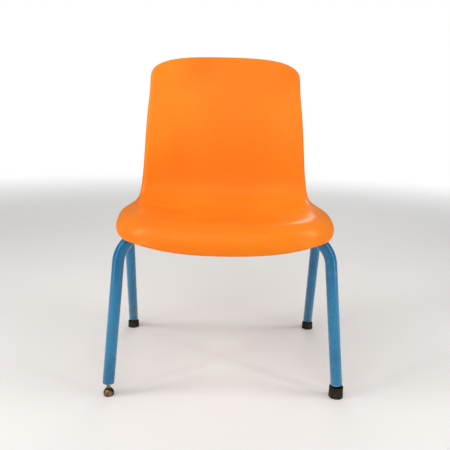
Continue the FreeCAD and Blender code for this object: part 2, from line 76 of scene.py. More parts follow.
Pair = Tuple[float, float]
Place = Tuple[float, float, float]
Colour = Tuple[float, float, float, float]
Stations = Sequence[Pair]
Socket = bpy.types.NodeSocket

# Points round a turned piece or a bent tube
AROUND = 48
# Points of a mesh closer than this are one
MERGE = 0.00001
# A point of a weld closer than this to its axis is at its tip
TIP = 0.000001


class Corner(Enum):
    """One corner of the chair, by the ending of its nodes' names."""

    FRONT_LEFT = "fl"
    FRONT_RIGHT = "fr"
    REAR_LEFT = "rl"
    REAR_RIGHT = "rr"

    @property
    def side(self) -> int:
        """-1 on the left and 1 on the right, as seen from the front."""
        return -1 if self.value.endswith("l") else 1

    @property
    def at_front(self) -> bool:
        """True at the two front corners."""
        return self.value.startswith("f")


class Slot(Enum):
    """Material slots of the record."""

    SHELL = "shell_plastic"
    PAINT = "frame_paint"
    ZINC = "zinc_steel"
    BRASS = "insert_brass"
    GLIDE = "glide_steel"
    BOOT = "boot_rubber"
    PLUG = "plug_nylon"
    RACE = "race_nylon"


def tint(code: str) -> Colour:
    """Turn a written screen colour into the linear colour that a shader takes.

    Args:
        code: the colour as a hash sign and six hexadecimal digits.

    Returns:
        Red, green, blue and an alpha of one.
    """
    channels = [int(code[i:i + 2], 16) / 255 for i in (1, 3, 5)]
    linear = [c / 12.92 if c <= 0.04045 else ((c + 0.055) / 1.055) ** 2.4 for c in channels]
    return (linear[0], linear[1], linear[2], 1.0)


def blend(stations: Stations, x: float) -> float:
    """Follow a smooth curve through stations, level at both ends.

    Args:
        stations: places in rising order, each with its value.
        x: the place to read.

    Returns:
        The value at x.
    """
    if x <= stations[0][0]:
        return stations[0][1]
    if x >= stations[-1][0]:
        return stations[-1][1]
    slopes = [0.0]
    for before, here, after in zip(stations, stations[1:], stations[2:]):
        left = (here[1] - before[1]) / (here[0] - before[0])
        right = (after[1] - here[1]) / (after[0] - here[0])
        slopes.append(2 * left * right / (left + right) if left * right > 0 else 0.0)
    slopes.append(0.0)
    i = max(k for k in range(len(stations) - 1) if stations[k][0] <= x)
    (x0, y0), (x1, y1) = stations[i], stations[i + 1]
    span = x1 - x0
    t = (x - x0) / span
    start = (2 * t ** 3 - 3 * t ** 2 + 1) * y0 + (t ** 3 - 2 * t ** 2 + t) * span * slopes[i]
    end = (3 * t ** 2 - 2 * t ** 3) * y1 + (t ** 3 - t ** 2) * span * slopes[i + 1]
    return start + end


# Modelling with edit-mode operators

def only(obj: bpy.types.Object) -> None:
    """Select one object alone and make it active.

    Args:
        obj: the object.
    """
    bpy.ops.object.select_all(action="DESELECT")
    obj.select_set(True)
    bpy.context.view_layer.objects.active = obj


def edit(obj: bpy.types.Object, select: bool = True) -> None:
    """Enter edit mode on one object.

    Args:
        obj: the object to shape.
        select: select all of its mesh, or none.
    """
    only(obj)
    bpy.ops.object.mode_set(mode="EDIT")
    bpy.ops.mesh.select_all(action="SELECT" if select else "DESELECT")


def leave_edit() -> None:
    """Return to object mode."""
    bpy.ops.object.mode_set(mode="OBJECT")


def apply_modifier(obj: bpy.types.Object, kind: str, **settings: object) -> None:
    """Add a modifier to an object and apply it.

    Args:
        obj: the object.
        kind: Blender's name of the modifier.
        settings: its settings by name.
    """
    only(obj)
    modifier = obj.modifiers.new(kind.lower(), kind)
    for name, value in settings.items():
        setattr(modifier, name, value)
    bpy.ops.object.modifier_apply(modifier=modifier.name)


def cleaned(obj: bpy.types.Object) -> None:
    """Merge doubled points and turn all faces outwards.

    Args:
        obj: the object.
    """
    edit(obj)
    bpy.ops.mesh.remove_doubles(threshold=MERGE)
    bpy.ops.mesh.normals_make_consistent(inside=False)
    leave_edit()


def placed(obj: bpy.types.Object) -> None:
    """Put an object's place into its mesh."""
    only(obj)
    bpy.ops.object.transform_apply(location=True, rotation=True, scale=True)


def smooth(obj: bpy.types.Object, degrees: float) -> None:
    """Shade smooth across edges blunter than an angle."""
    only(obj)
    bpy.ops.object.shade_smooth_by_angle(angle=math.radians(degrees))


def bevelled(obj: bpy.types.Object, width: float, degrees: float = 35.0) -> None:
    """Round the sharp edges of an object.

    Args:
        obj: the object.
        width: width of the rounding.
        degrees: edges sharper than this are rounded.
    """
    apply_modifier(
        obj, "BEVEL", width=width, segments=2, limit_method="ANGLE",
        angle_limit=math.radians(degrees), use_clamp_overlap=True,
    )


def walled(obj: bpy.types.Object, wall: float) -> None:
    """Give a sheet or an open tube its wall, inwards."""
    apply_modifier(obj, "SOLIDIFY", thickness=wall, offset=-1.0, use_even_offset=True, use_rim=True)


def finished_tube(obj: bpy.types.Object, wall: float, ease: float) -> None:
    """Make a thin tube a walled one with eased ends.

    Args:
        obj: the tube, open at both ends.
        wall: thickness of its wall.
        ease: width of the rounding on its ends.
    """
    cleaned(obj)
    walled(obj, wall)
    bevelled(obj, ease, degrees=60.0)
    smooth(obj, degrees=40.0)


def started(name: str) -> bpy.types.Object:
    """Name the primitive that was just added, as the start of a piece.

    Args:
        name: the piece's name.

    Returns:
        The primitive.
    """
    obj = bpy.context.object
    obj.name = name
    return obj


def stretch(step: Vector) -> None:
    """Extrude the selected edges by a step, in edit mode."""
    bpy.ops.mesh.extrude_edges_move(TRANSFORM_OT_translate={"value": tuple(step)})


def turned(name: str, profile: Stations, axis_at: Vector, closed: bool, degrees: float) -> bpy.types.Object:
    """Model a turned piece by extruding and scaling a circle from ring to ring.

    Args:
        name: the piece's name.
        profile: radius and height of each ring, heights as in the frame.
        axis_at: a point on the upright axis.
        closed: join the last ring back to the first, as on a ring, or cap both ends.
        degrees: edges blunter than this are shaded smooth.

    Returns:
        The new object, with its place in its mesh.
    """
    radius, height = profile[0]
    centre = (axis_at.x, axis_at.y, height)
    bpy.ops.mesh.primitive_circle_add(vertices=AROUND, radius=radius, location=centre)
    obj = started(name)
    edit(obj)
    rings = list(profile[1:]) + ([profile[0]] if closed else [])
    for next_radius, next_height in rings:
        stretch(Vector((0.0, 0.0, next_height - height)))
        if next_radius != radius:
            share = next_radius / radius
            at = (axis_at.x, axis_at.y, next_height)
            bpy.ops.transform.resize(value=(share, share, 1.0), center_override=at)
        radius, height = next_radius, next_height
    if not closed:
        bpy.ops.mesh.edge_face_add()
        leave_edit()
        edit(obj, select=False)
        bpy.ops.mesh.select_non_manifold(extend=False)
        bpy.ops.mesh.edge_face_add()
    leave_edit()
    placed(obj)
    cleaned(obj)
    smooth(obj, degrees)
    return obj


def arc(centre: Pair, radius: float, start: float, end: float, steps: int) -> List[Pair]:
    """Points of a round stretch of a profile.

    Args:
        centre: its middle.
        radius: its radius.
        start: first angle in degrees.
        end: last angle in degrees.
        steps: stretches between its points.

    Returns:
        The points, both ends included.
    """
    points = []
    for i in range(steps + 1):
        angle = math.radians(start + (end - start) * i / steps)
        points.append((centre[0] + radius * math.cos(angle), centre[1] + radius * math.sin(angle)))
    return points


def merged_copy(node: str, name: str, rounding: float = 0.0) -> bpy.types.Object:
    """Copy a machined node as one closed, smoothly shaded mesh.

    Args:
        node: the node to copy.
        name: the copy's name.
        rounding: width of the rounding on its sharp edges.

    Returns:
        The copy, without a parent.
    """
    source = frame["nodes"][node]
    copy = source.copy()
    copy.data = source.data.copy()
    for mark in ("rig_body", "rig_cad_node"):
        del copy[mark]
    copy.parent = None
    copy.name = name
    bpy.context.scene.collection.objects.link(copy)
    only(copy)
    copy.data.materials.clear()
    edit(copy)
    bpy.ops.mesh.remove_doubles(threshold=MERGE / 2)
    bpy.ops.mesh.customdata_custom_splitnormals_clear()
    bpy.ops.mesh.tris_convert_to_quads()
    leave_edit()
    if rounding:
        bevelled(copy, rounding)
    smooth(copy, degrees=30.0)
    return copy


# Finishes

@dataclass(frozen=True)
class Mottle:
    """Soft noise of some repeats in a metre, mapped from start and end onto low and high."""

    scale: float
    detail: float
    start: float
    end: float
    low: float = 0.0
    high: float = 1.0
    twist: float = 0.0


@dataclass(frozen=True)
class Relief:
    """Bumps of soft noise, with their repeats in a metre and their real height."""

    scale: float
    detail: float
    height: float


class Graph:
    """A material's node tree, built from short calls."""

    def __init__(self, name: str) -> None:
        """Start an empty tree.

        Args:
            name: the material's name.
        """
        self.material = bpy.data.materials.new(name)
        self.material.use_nodes = True
        self.tree = self.material.node_tree
        self.tree.nodes.clear()
        self.output = self.tree.nodes.new("ShaderNodeOutputMaterial")
        self.place = self.tree.nodes.new("ShaderNodeTexCoord").outputs["Object"]

    def feed(self, socket: Socket, value: object) -> None:
        """Link an input to an output, or set its value.

        Args:
            socket: the input.
            value: the output or the value.
        """
        if isinstance(value, Socket):
            self.tree.links.new(value, socket)
        else:
            socket.default_value = value

    def stretched(self, scale: Place, turn: float = 0.0) -> Socket:
        """Object coordinates stretched by a scale and turned about X.

        Args:
            scale: factor along each axis.
            turn: angle in degrees.

        Returns:
            The coordinates.
        """
        node = self.tree.nodes.new("ShaderNodeMapping")
        self.feed(node.inputs["Vector"], self.place)
        node.inputs["Scale"].default_value = scale
        node.inputs["Rotation"].default_value = (math.radians(turn), 0.0, 0.0)
        return node.outputs["Vector"]

    def noise(self, scale: float, detail: float, place: Optional[Socket] = None,
              twist: float = 0.0) -> Socket:
        """Soft noise.

        Args:
            scale: repeats in a metre.
            detail: finer layers.
            place: coordinates, or the object's own.
            twist: distortion.

        Returns:
            Its value.
        """
        node = self.tree.nodes.new("ShaderNodeTexNoise")
        self.feed(node.inputs["Vector"], place or self.place)
        node.inputs["Scale"].default_value = scale
        node.inputs["Detail"].default_value = detail
        node.inputs["Distortion"].default_value = twist
        return node.outputs["Fac"]

    def cells(self, scale: float) -> Socket:
        """Distance to the nearest of scattered points.

        Args:
            scale: points in a metre.

        Returns:
            The distance.
        """
        node = self.tree.nodes.new("ShaderNodeTexVoronoi")
        self.feed(node.inputs["Vector"], self.place)
        node.inputs["Scale"].default_value = scale
        return node.outputs["Distance"]

    def between(self, value: Socket, low: float, high: float, out_low: float = 0.0,
                out_high: float = 1.0) -> Socket:
        """Map a range smoothly onto another.

        Args:
            value: the input.
            low: where the range starts.
            high: where it ends.
            out_low: result at the start.
            out_high: result at the end.

        Returns:
            The mapped value.
        """
        node = self.tree.nodes.new("ShaderNodeMapRange")
        node.interpolation_type = "SMOOTHSTEP"
        self.feed(node.inputs["Value"], value)
        node.inputs["From Min"].default_value = low
        node.inputs["From Max"].default_value = high
        node.inputs["To Min"].default_value = out_low
        node.inputs["To Max"].default_value = out_high
        return node.outputs["Result"]

    def mottle(self, kind: Mottle) -> Socket:
        """Soft noise mapped onto a range of values."""
        noise = self.noise(kind.scale, kind.detail, twist=kind.twist)
        return self.between(noise, kind.start, kind.end, kind.low, kind.high)

    def maths(self, how: str, first: object, second: object) -> Socket:
        """Combine two values.

        Args:
            how: Blender's name of the operation.
            first: the first value.
            second: the second value.

        Returns:
            The result.
        """
        node = self.tree.nodes.new("ShaderNodeMath")
        node.operation = how
        self.feed(node.inputs[0], first)
        self.feed(node.inputs[1], second)
        return node.outputs["Value"]

    def axis(self, which: str) -> Socket:
        """One of the object coordinates.

        Args:
            which: X, Y or Z.

        Returns:
            The coordinate.
        """
        node = self.tree.nodes.new("ShaderNodeSeparateXYZ")
        self.feed(node.inputs["Vector"], self.place)
        return node.outputs[which]

    def mixed(self, share: object, first: object, second: object) -> Socket:
        """Mix two colours.

        Args:
            share: how much of the second.
            first: the first colour.
            second: the second colour.

        Returns:
            The mixed colour.
        """
        node = self.tree.nodes.new("ShaderNodeMix")
        node.data_type = "RGBA"
        self.feed(node.inputs["Factor"], share)
        first_colour, second_colour = [s for s in node.inputs if s.type == "RGBA"]
        self.feed(first_colour, first)
        self.feed(second_colour, second)
        return next(s for s in node.outputs if s.type == "RGBA")

    def bump(self, height: Socket, distance: float, over: Optional[Socket] = None) -> Socket:
        """Raise the surface by a height.

        Args:
            height: from zero to one.
            distance: real height of one.
            over: a bump below this one.

        Returns:
            The bent normal.
        """
        node = self.tree.nodes.new("ShaderNodeBump")
        node.inputs["Strength"].default_value = 1.0
        node.inputs["Distance"].default_value = distance
        self.feed(node.inputs["Height"], height)
        if over is not None:
            self.feed(node.inputs["Normal"], over)
        return node.outputs["Normal"]

    def relief(self, kind: Relief, over: Optional[Socket] = None) -> Socket:
        """Raise the surface by soft noise, over a bump below it."""
        return self.bump(self.noise(kind.scale, kind.detail), kind.height, over)

    def surface(self, **inputs: object) -> bpy.types.Material:
        """Finish the material with one principled shader.

        Args:
            inputs: its inputs, with underscores for spaces.

        Returns:
            The material.
        """
        shader = self.tree.nodes.new("ShaderNodeBsdfPrincipled")
        for name, value in inputs.items():
            self.feed(shader.inputs[name.replace("_", " ")], value)
        self.tree.links.new(shader.outputs["BSDF"], self.output.inputs["Surface"])
        return self.material


@dataclass(frozen=True)
class MouldedPlastic:
    """Glossy satin polypropylene with a fine moulded grain, soft tone changes and light scuffs."""

    name: str = "orange moulded plastic"
    light: str = "#F78A20"
    middle: str = "#F37B1B"
    deep: str = "#EE6914"
    scuff: str = "#FAA650"
    sheen: str = "#FFC27E"
    tone: Mottle = Mottle(4.0, 1.0, 0.3, 0.7)
    pools: Mottle = Mottle(6.0, 1.0, 0.5, 0.75, 0.0, 0.45, twist=0.3)
    rubbed: Mottle = Mottle(14.0, 2.0, 0.58, 0.75)
    wear: Mottle = Mottle(12.0, 2.0, 0.3, 0.75, -0.03, 0.06)
    scratch_scale: float = 45.0
    scratch_detail: float = 4.0
    scratch_stretch: Place = (1.0, 5.0, 4.0)
    scratch_turn: float = 25.0
    scratch_range: Pair = (0.64, 0.7)
    scuff_strength: float = 0.4
    scuff_roughness: float = 0.05
    roughness: float = 0.3
    grain: Relief = Relief(1500.0, 1.0, 0.000003)
    wave: Relief = Relief(22.0, 0.0, 0.00012)
    ior: float = 1.46
    reflection: float = 0.42
    glow: float = 0.1
    glow_depth: float = 0.003
    glow_colours: Place = (1.0, 0.35, 0.1)

    def material(self) -> bpy.types.Material:
        """Build the material.

        Returns:
            The material.
        """
        g = Graph(self.name)
        colour = g.mixed(g.mottle(self.tone), tint(self.middle), tint(self.light))
        colour = g.mixed(g.mottle(self.pools), colour, tint(self.deep))
        stretched = g.stretched(self.scratch_stretch, self.scratch_turn)
        scratches = g.noise(self.scratch_scale, self.scratch_detail, stretched)
        scuffs = g.maths("MULTIPLY", g.between(scratches, *self.scratch_range), g.mottle(self.rubbed))
        colour = g.mixed(g.maths("MULTIPLY", scuffs, self.scuff_strength), colour, tint(self.scuff))
        rough = g.maths("ADD", g.mottle(self.wear), self.roughness)
        rough = g.maths("ADD", rough, g.maths("MULTIPLY", scuffs, self.scuff_roughness))
        return g.surface(
            Base_Color=colour, Roughness=rough, Normal=g.relief(self.wave, g.relief(self.grain)),
            IOR=self.ior, Specular_IOR_Level=self.reflection, Specular_Tint=tint(self.sheen),
            Subsurface_Weight=self.glow, Subsurface_Scale=self.glow_depth,
            Subsurface_Radius=self.glow_colours,
        )


@dataclass(frozen=True)
class PowderCoat:
    """Glossy mid-blue coating with a faint orange peel, and chips where feet and floors strike it."""

    name: str = "blue frame coating"
    worn_below: float = 0.0
    light: str = "#1478A4"
    main: str = "#0A6590"
    sheen: str = "#CDE9FF"
    chip: str = "#5B666C"
    dust: str = "#5F93AC"
    bare: str = "#9AA3A8"
    tone: Mottle = Mottle(9.0, 2.0, 0.35, 0.65)
    dusting: Mottle = Mottle(40.0, 4.0, 0.55, 0.85, 0.0, 0.2)
    gloss: Mottle = Mottle(30.0, 3.0, 0.3, 0.7, 0.2, 0.32)
    chip_height: float = 0.11
    chip_scale: float = 85.0
    chip_limit: float = 0.79
    chips_below: float = 0.1
    edge_detail: float = 3.0
    ragged_scale: float = 260.0
    ragged: float = 0.08
    chip_roughness: float = 0.3
    chip_depth: float = 0.00012
    fray_scale: float = 180.0
    fray: float = 0.006
    bare_metal: float = 0.9
    peel: Relief = Relief(420.0, 1.0, 0.00002)
    ior: float = 1.48
    lacquer: float = 0.5
    lacquer_roughness: float = 0.05

    def material(self) -> bpy.types.Material:
        """Build the material.

        Returns:
            The material.
        """
        g = Graph(self.name)
        colour = g.mixed(g.mottle(self.tone), tint(self.main), tint(self.light))
        colour = g.mixed(g.mottle(self.dusting), colour, tint(self.dust))
        low = g.between(g.axis("Z"), 0.0, self.chip_height, 1.0, 0.0)
        limit = g.maths("SUBTRACT", self.chip_limit, g.maths("MULTIPLY", low, self.chips_below))
        ragged = g.maths("MULTIPLY", g.noise(self.ragged_scale, self.edge_detail), self.ragged)
        chips = g.maths("GREATER_THAN", g.maths("ADD", g.noise(self.chip_scale, 1.0), ragged), limit)
        colour = g.mixed(chips, colour, tint(self.chip))
        metal: object = 0.0
        if self.worn_below:
            fray = g.maths("SUBTRACT", g.noise(self.fray_scale, self.edge_detail), 0.5)
            height = g.maths("ADD", g.axis("Z"), g.maths("MULTIPLY", fray, self.fray))
            worn = g.maths("LESS_THAN", height, self.worn_below)
            colour = g.mixed(worn, colour, tint(self.bare))
            metal = g.maths("MULTIPLY", worn, self.bare_metal)
        rough = g.maths("ADD", g.mottle(self.gloss), g.maths("MULTIPLY", chips, self.chip_roughness))
        edge = g.bump(g.maths("SUBTRACT", 1.0, chips), self.chip_depth, g.relief(self.peel))
        return g.surface(
            Base_Color=colour, Roughness=rough, Normal=edge, IOR=self.ior, Metallic=metal,
            Specular_Tint=tint(self.sheen), Coat_Weight=self.lacquer, Coat_Roughness=self.lacquer_roughness,
        )


@dataclass(frozen=True)
class PlatedMetal:
    """Bare or plated metal with brushed marks and dull spots."""

    name: str
    light: str
    dark: str
    roughness: float
    tarnish: float
    spots: Mottle = Mottle(160.0, 4.0, 0.4, 0.68, twist=0.5)
    spot_roughness: float = 0.3
    brush_scale: float = 300.0
    brush_detail: float = 3.0
    brush_stretch: Place = (1.0, 1.0, 12.0)
    brush_roughness: float = 0.16
    brush_depth: float = 0.00001

    def material(self) -> bpy.types.Material:
        """Build the material.

        Returns:
            The material.
        """
        g = Graph(self.name)
        spots = g.mottle(replace(self.spots, high=self.tarnish))
        colour = g.mixed(spots, tint(self.light), tint(self.dark))
        brushed = g.noise(self.brush_scale, self.brush_detail, g.stretched(self.brush_stretch))
        brushing = g.maths("MULTIPLY", brushed, self.brush_roughness)
        rough = g.maths("ADD", brushing, g.maths("MULTIPLY", spots, self.spot_roughness))
        rough = g.maths("ADD", rough, self.roughness - self.brush_roughness / 2)
        marks = g.bump(brushed, self.brush_depth)
        return g.surface(Base_Color=colour, Metallic=1.0, Roughness=rough, Normal=marks)


@dataclass(frozen=True)
class BootRubber:
    """Matt black rubber, browned by dust from the floor up."""

    name: str = "black boot rubber"
    black: str = "#191512"
    dust: str = "#5A4531"
    reach: float = 0.016
    dust_at_floor: float = 0.75
    dust_above: float = 0.15
    dusting: Mottle = Mottle(130.0, 4.0, 0.38, 0.7, twist=0.6)
    dullness: Mottle = Mottle(240.0, 3.0, 0.3, 0.7, 0.62, 0.88)
    skin: Relief = Relief(900.0, 3.0, 0.00005)
    pit_scale: float = 420.0
    pit_size: float = 0.35
    pit_depth: float = 0.00006
    reflection: float = 0.35

    def material(self) -> bpy.types.Material:
        """Build the material.

        Returns:
            The material.
        """
        g = Graph(self.name)
        low = g.between(g.axis("Z"), 0.0, self.reach, self.dust_at_floor, self.dust_above)
        dusty = g.maths("MULTIPLY", g.mottle(self.dusting), low)
        colour = g.mixed(dusty, tint(self.black), tint(self.dust))
        pits = g.between(g.cells(self.pit_scale), 0.0, self.pit_size)
        return g.surface(
            Base_Color=colour, Roughness=g.mottle(self.dullness), Specular_IOR_Level=self.reflection,
            Normal=g.bump(pits, self.pit_depth, g.relief(self.skin)),
        )


@dataclass(frozen=True)
class Nylon:
    """Moulded nylon with a faint mottle."""

    name: str
    light: str
    dark: str
    roughness: float
    tone: Mottle = Mottle(90.0, 3.0, 0.35, 0.65)
    dull_scale: float = 300.0
    dull_range: float = 0.14
    skin: Relief = Relief(1100.0, 2.0, 0.00002)
    ior: float = 1.53

    def material(self) -> bpy.types.Material:
        """Build the material.

        Returns:
            The material.
        """
        g = Graph(self.name)
        colour = g.mixed(g.mottle(self.tone), tint(self.dark), tint(self.light))
        dull = g.maths("MULTIPLY", g.noise(self.dull_scale, 2.0), self.dull_range)
        rough = g.maths("ADD", dull, self.roughness - self.dull_range / 2)
        return g.surface(Base_Color=colour, Roughness=rough, Normal=g.relief(self.skin), IOR=self.ior)


class Paintbox:
    """The chair's finished materials, one for each slot of the record."""

    BARE_EDGE = 0.0014

    def __init__(self) -> None:
        """Build every material once."""
        finishes = {
            Slot.SHELL: MouldedPlastic(),
            Slot.PAINT: PowderCoat(),
            Slot.ZINC: PlatedMetal("zinc plate", "#C9CCD0", "#84888C", roughness=0.3, tarnish=0.45),
            Slot.BRASS: PlatedMetal("turned brass", "#C9A158", "#7A5A28", roughness=0.28, tarnish=0.4),
            Slot.GLIDE: PlatedMetal("worn glide steel", "#8C775A", "#30261C", roughness=0.34, tarnish=0.95),
            Slot.BOOT: BootRubber(),
            Slot.PLUG: Nylon("black plug nylon", "#1C1D20", "#101113", roughness=0.5),
            Slot.RACE: Nylon("natural nylon", "#E6E1D4", "#CFC8B6", roughness=0.45),
        }
        self.materials: Dict[Slot, bpy.types.Material] = {s: f.material() for s, f in finishes.items()}

    def dress(self, obj: bpy.types.Object, slot: Slot) -> None:
        """Give an object the finish of a slot."""
        obj.data.materials.clear()
        obj.data.materials.append(self.materials[slot])

    def wear_end(self, obj: bpy.types.Object, end_z: float) -> None:
        """Give a hoop the coating with its edges worn bare at the height of its tube ends."""
        finish = PowderCoat(name=f"blue coating of {obj.name}", worn_below=end_z + self.BARE_EDGE)
        obj.data.materials[0] = finish.material()

    def hand_over(self, obj: bpy.types.Object, slot: Slot, body: str, *nodes: str) -> None:
        """Finish a modelled piece and let it stand for its nodes.

        Args:
            obj: the piece.
            slot: the record's slot.
            body: the body it moves with.
            nodes: the nodes it stands for.
        """
        self.dress(obj, slot)
        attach(obj, body)
        if nodes:
            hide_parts(*nodes)
        LOG.info("%s: %d faces, on %s", obj.name, len(obj.data.polygons), body)


# Seat shell

@dataclass(frozen=True)
class Spine:
    """Middle line of the shell: a clamped cubic B-spline from the front crest up the back."""

    DEGREE = 3

    poles: Tuple[Pair, ...]
    samples: int = 1500

    @property
    def spans(self) -> int:
        """How many stretches the spline has."""
        return len(self.poles) - self.DEGREE

    def knots(self) -> List[float]:
        """Even knots, clamped at both ends."""
        middle = [float(i) for i in range(self.spans + 1)]
        return [0.0] * self.DEGREE + middle + [float(self.spans)] * self.DEGREE

    def at(self, u: float) -> Pair:
        """Point of the spline, by de Boor's rule.

        Args:
            u: the parameter, from zero to the number of spans.

        Returns:
            The point's depth and height.
        """
        knots = self.knots()
        k = min(int(u), self.spans - 1) + self.DEGREE
        d = [self.poles[j + k - self.DEGREE] for j in range(self.DEGREE + 1)]
        for r in range(1, self.DEGREE + 1):
            for j in range(self.DEGREE, r - 1, -1):
                low = knots[j + k - self.DEGREE]
                share = (u - low) / (knots[j + 1 + k - r] - low)
                (y0, z0), (y1, z1) = d[j - 1], d[j]
                d[j] = ((1 - share) * y0 + share * y1, (1 - share) * z0 + share * z1)
        return d[self.DEGREE]

    @lru_cache(maxsize=None)
    def table(self) -> Tuple[Place, ...]:
        """Measure the line at even steps of the parameter.

        Returns:
            Length along, depth and height at each step.
        """
        rows = []
        length = 0.0
        before = self.at(0.0)
        for i in range(self.samples + 1):
            point = self.at(self.spans * i / self.samples)
            length += math.hypot(point[0] - before[0], point[1] - before[1])
            rows.append((length, point[0], point[1]))
            before = point
        return tuple(rows)

    @property
    def length(self) -> float:
        """Whole length of the line."""
        return self.table()[-1][0]

    @lru_cache(maxsize=None)
    def frame(self, s: float) -> Tuple[Pair, Pair]:
        """Point and unit direction at a length along the line.

        Args:
            s: the length, rounded.

        Returns:
            The point and the direction, each as depth and height.
        """
        rows = self.table()
        s = min(max(s, 0.0), self.length)
        low, high = 0, len(rows) - 1
        while high - low > 1:
            middle = (low + high) // 2
            if rows[middle][0] <= s:
                low = middle
            else:
                high = middle
        a, b = rows[low], rows[high]
        share = (s - a[0]) / (b[0] - a[0])
        point = (a[1] + (b[1] - a[1]) * share, a[2] + (b[2] - a[2]) * share)
        before, after = rows[max(low - 1, 0)], rows[min(high + 1, len(rows) - 1)]
        dy, dz = after[1] - before[1], after[2] - before[2]
        size = math.hypot(dy, dz)
        return point, (dy / size, dz / size)


@dataclass(frozen=True)
class Roll:
    """Rolled rim beside one place: how far it reaches out and drops, in metres."""

    reach: float
    drop: float


@dataclass(frozen=True)
class SeatShell:
    """One-piece moulded shell: a dished sheet with a rolled rim and four bosses below."""

    datum_y: float
    wall: float = 0.004
    crest_y: float = -0.135
    crest_z: float = 0.2867
    crest_flat: float = 0.028
    pan_y: float = -0.050
    pan_share: float = 0.45
    dish: Pair = (0.015, 0.276)
    heel: Pair = (0.074, 0.276)
    lumbar: Pair = (0.099, 0.308)
    lumbar_rise: float = 0.057
    lumbar_lean: float = 0.010
    top: Pair = (0.157, 0.5633)
    top_straight: Pair = (0.028, 0.115)
    top_end: Pair = (0.008, 0.045)
    front_half: float = 0.144
    seat_half: float = 0.155
    hip_half: float = 0.154
    low_half: float = 0.1494
    mid_half: float = 0.1457
    top_half: float = 0.1414
    dish_share: float = 0.30
    hip_share: float = 0.435
    low_share: float = 0.56
    mid_share: float = 0.75
    sags: Tuple[float, ...] = (0.003, 0.013, 0.0188, 0.018, 0.010)
    sag_power: float = 2.4
    full_sag_share: float = 0.6
    seat_corner: float = 0.0726
    seat_corner_power: float = 2.75
    back_corner: float = 0.045
    back_corner_power: float = 3.0
    front_roll: Roll = Roll(0.0375, 0.0494)
    corner_roll: Roll = Roll(0.0422, 0.0387)
    side_roll: Roll = Roll(0.0436, 0.0162)
    seat_roll: Roll = Roll(0.0314, 0.0130)
    hip_roll: Roll = Roll(0.0123, 0.0120)
    back_roll: Roll = Roll(0.0080, 0.0080)
    top_roll: Roll = Roll(0.0080, 0.0075)
    roll_angle: float = 84.0
    roll_power: float = 2.7
    crease_angle: float = 20.0
    corner_roll_share: float = 0.25
    margin: float = 0.024
    across: int = 16
    along: int = 36
    crowding: float = 0.6
    flat_steps: int = 5
    roll_steps: int = 7
    ring_step: float = 0.05
    near_share: float = 0.02
    normal_step: float = 0.0005
    halvings: int = 40
    seat_middle: Pair = (0.0, -0.5)
    refinement: int = 2
    length_digits: int = 7
    pattern_digits: int = 5

    @property
    def spine(self) -> Spine:
        """The shell's middle line.

        Returns:
            The line through the poles that the sizes give.
        """
        return Spine((
            (self.crest_y, self.crest_z),
            (self.crest_y + self.crest_flat, self.crest_z),
            (self.pan_y, self.pan_share * self.crest_z + (1 - self.pan_share) * self.dish[1]),
            self.dish,
            self.heel,
            self.lumbar,
            (self.lumbar[0] + self.lumbar_lean, self.lumbar[1] + self.lumbar_rise),
            (self.top[0] - self.top_straight[0], self.top[1] - self.top_straight[1]),
            (self.top[0] - self.top_end[0], self.top[1] - self.top_end[1]),
            self.top,
        ))

    @property
    def length(self) -> float:
        """Length of the middle line."""
        return self.spine.length

    def place(self, share: float) -> float:
        """Length along the middle line at a share of it."""
        return share * self.length

    def half_width(self, s: float) -> float:
        """Half-width of the crest line, without its rounded corners.

        Args:
            s: length along the middle line.

        Returns:
            The half-width.
        """
        return blend((
            (self.seat_corner, self.front_half),
            (self.place(self.dish_share), self.seat_half),
            (self.place(self.hip_share), self.hip_half),
            (self.place(self.low_share), self.low_half),
            (self.place(self.mid_share), self.mid_half),
            (self.length - self.back_corner, self.top_half),
        ), s)

    def sag(self, s: float) -> float:
        """Height of the sides above the middle line.

        Args:
            s: length along the middle line.

        Returns:
            The height, square to the sheet.
        """
        places = (
            0.0,
            self.place(self.dish_share) * self.full_sag_share,
            self.place(self.hip_share),
            self.place(self.low_share),
            self.length,
        )
        return blend(tuple(zip(places, self.sags)), s)

    def roll(self, s: float) -> Roll:
        """Rolled rim beside a place of the middle line.

        Args:
            s: length along the middle line.

        Returns:
            The rim's reach and drop.
        """
        places = (
            self.seat_corner * self.corner_roll_share,
            self.seat_corner,
            self.place(self.dish_share),
            self.place(self.hip_share),
            self.place(self.low_share),
            self.length - self.back_corner,
            self.length,
        )
        rolls = (
            self.corner_roll, self.side_roll, self.seat_roll, self.hip_roll,
            self.back_roll, self.back_roll, self.top_roll,
        )
        reach = blend([(p, r.reach) for p, r in zip(places, rolls)], s)
        drop = blend([(p, r.drop) for p, r in zip(places, rolls)], s)
        return Roll(reach, drop)

    def crease(self, s: float) -> float:
        """Angle at which the rim leaves the sheet downwards beside the seat.

        Args:
            s: length along the middle line.

        Returns:
            The angle in degrees.
        """
        return blend((
            (0.0, 0.0),
            (self.seat_corner, self.crease_angle),
            (self.place(self.hip_share), self.crease_angle),
            (self.place(self.low_share), 0.0),
        ), s)

    def sheet(self, a: float, s: float) -> Vector:
        """Point of the dished sheet.

        Args:
            a: distance from the middle line across.
            s: length along the middle line.

        Returns:
            The point, before the shift to the frame's datum.
        """
        (y, z), (dy, dz) = self.spine.frame(round(s, self.length_digits))
        lift = self.sag(s) * (abs(a) / self.half_width(s)) ** self.sag_power
        return Vector((a, y - dz * lift, z + dy * lift))

    def normal(self, a: float, s: float) -> Vector:
        """Unit normal of the sheet on the sitter's side.

        Args:
            a: distance from the middle line across.
            s: length along the middle line.

        Returns:
            The normal.
        """
        step = self.normal_step
        across = self.sheet(a + step, s) - self.sheet(a - step, s)
        along = self.sheet(a, min(s + step, self.length)) - self.sheet(a, max(s - step, 0.0))
        return across.cross(along).normalized()

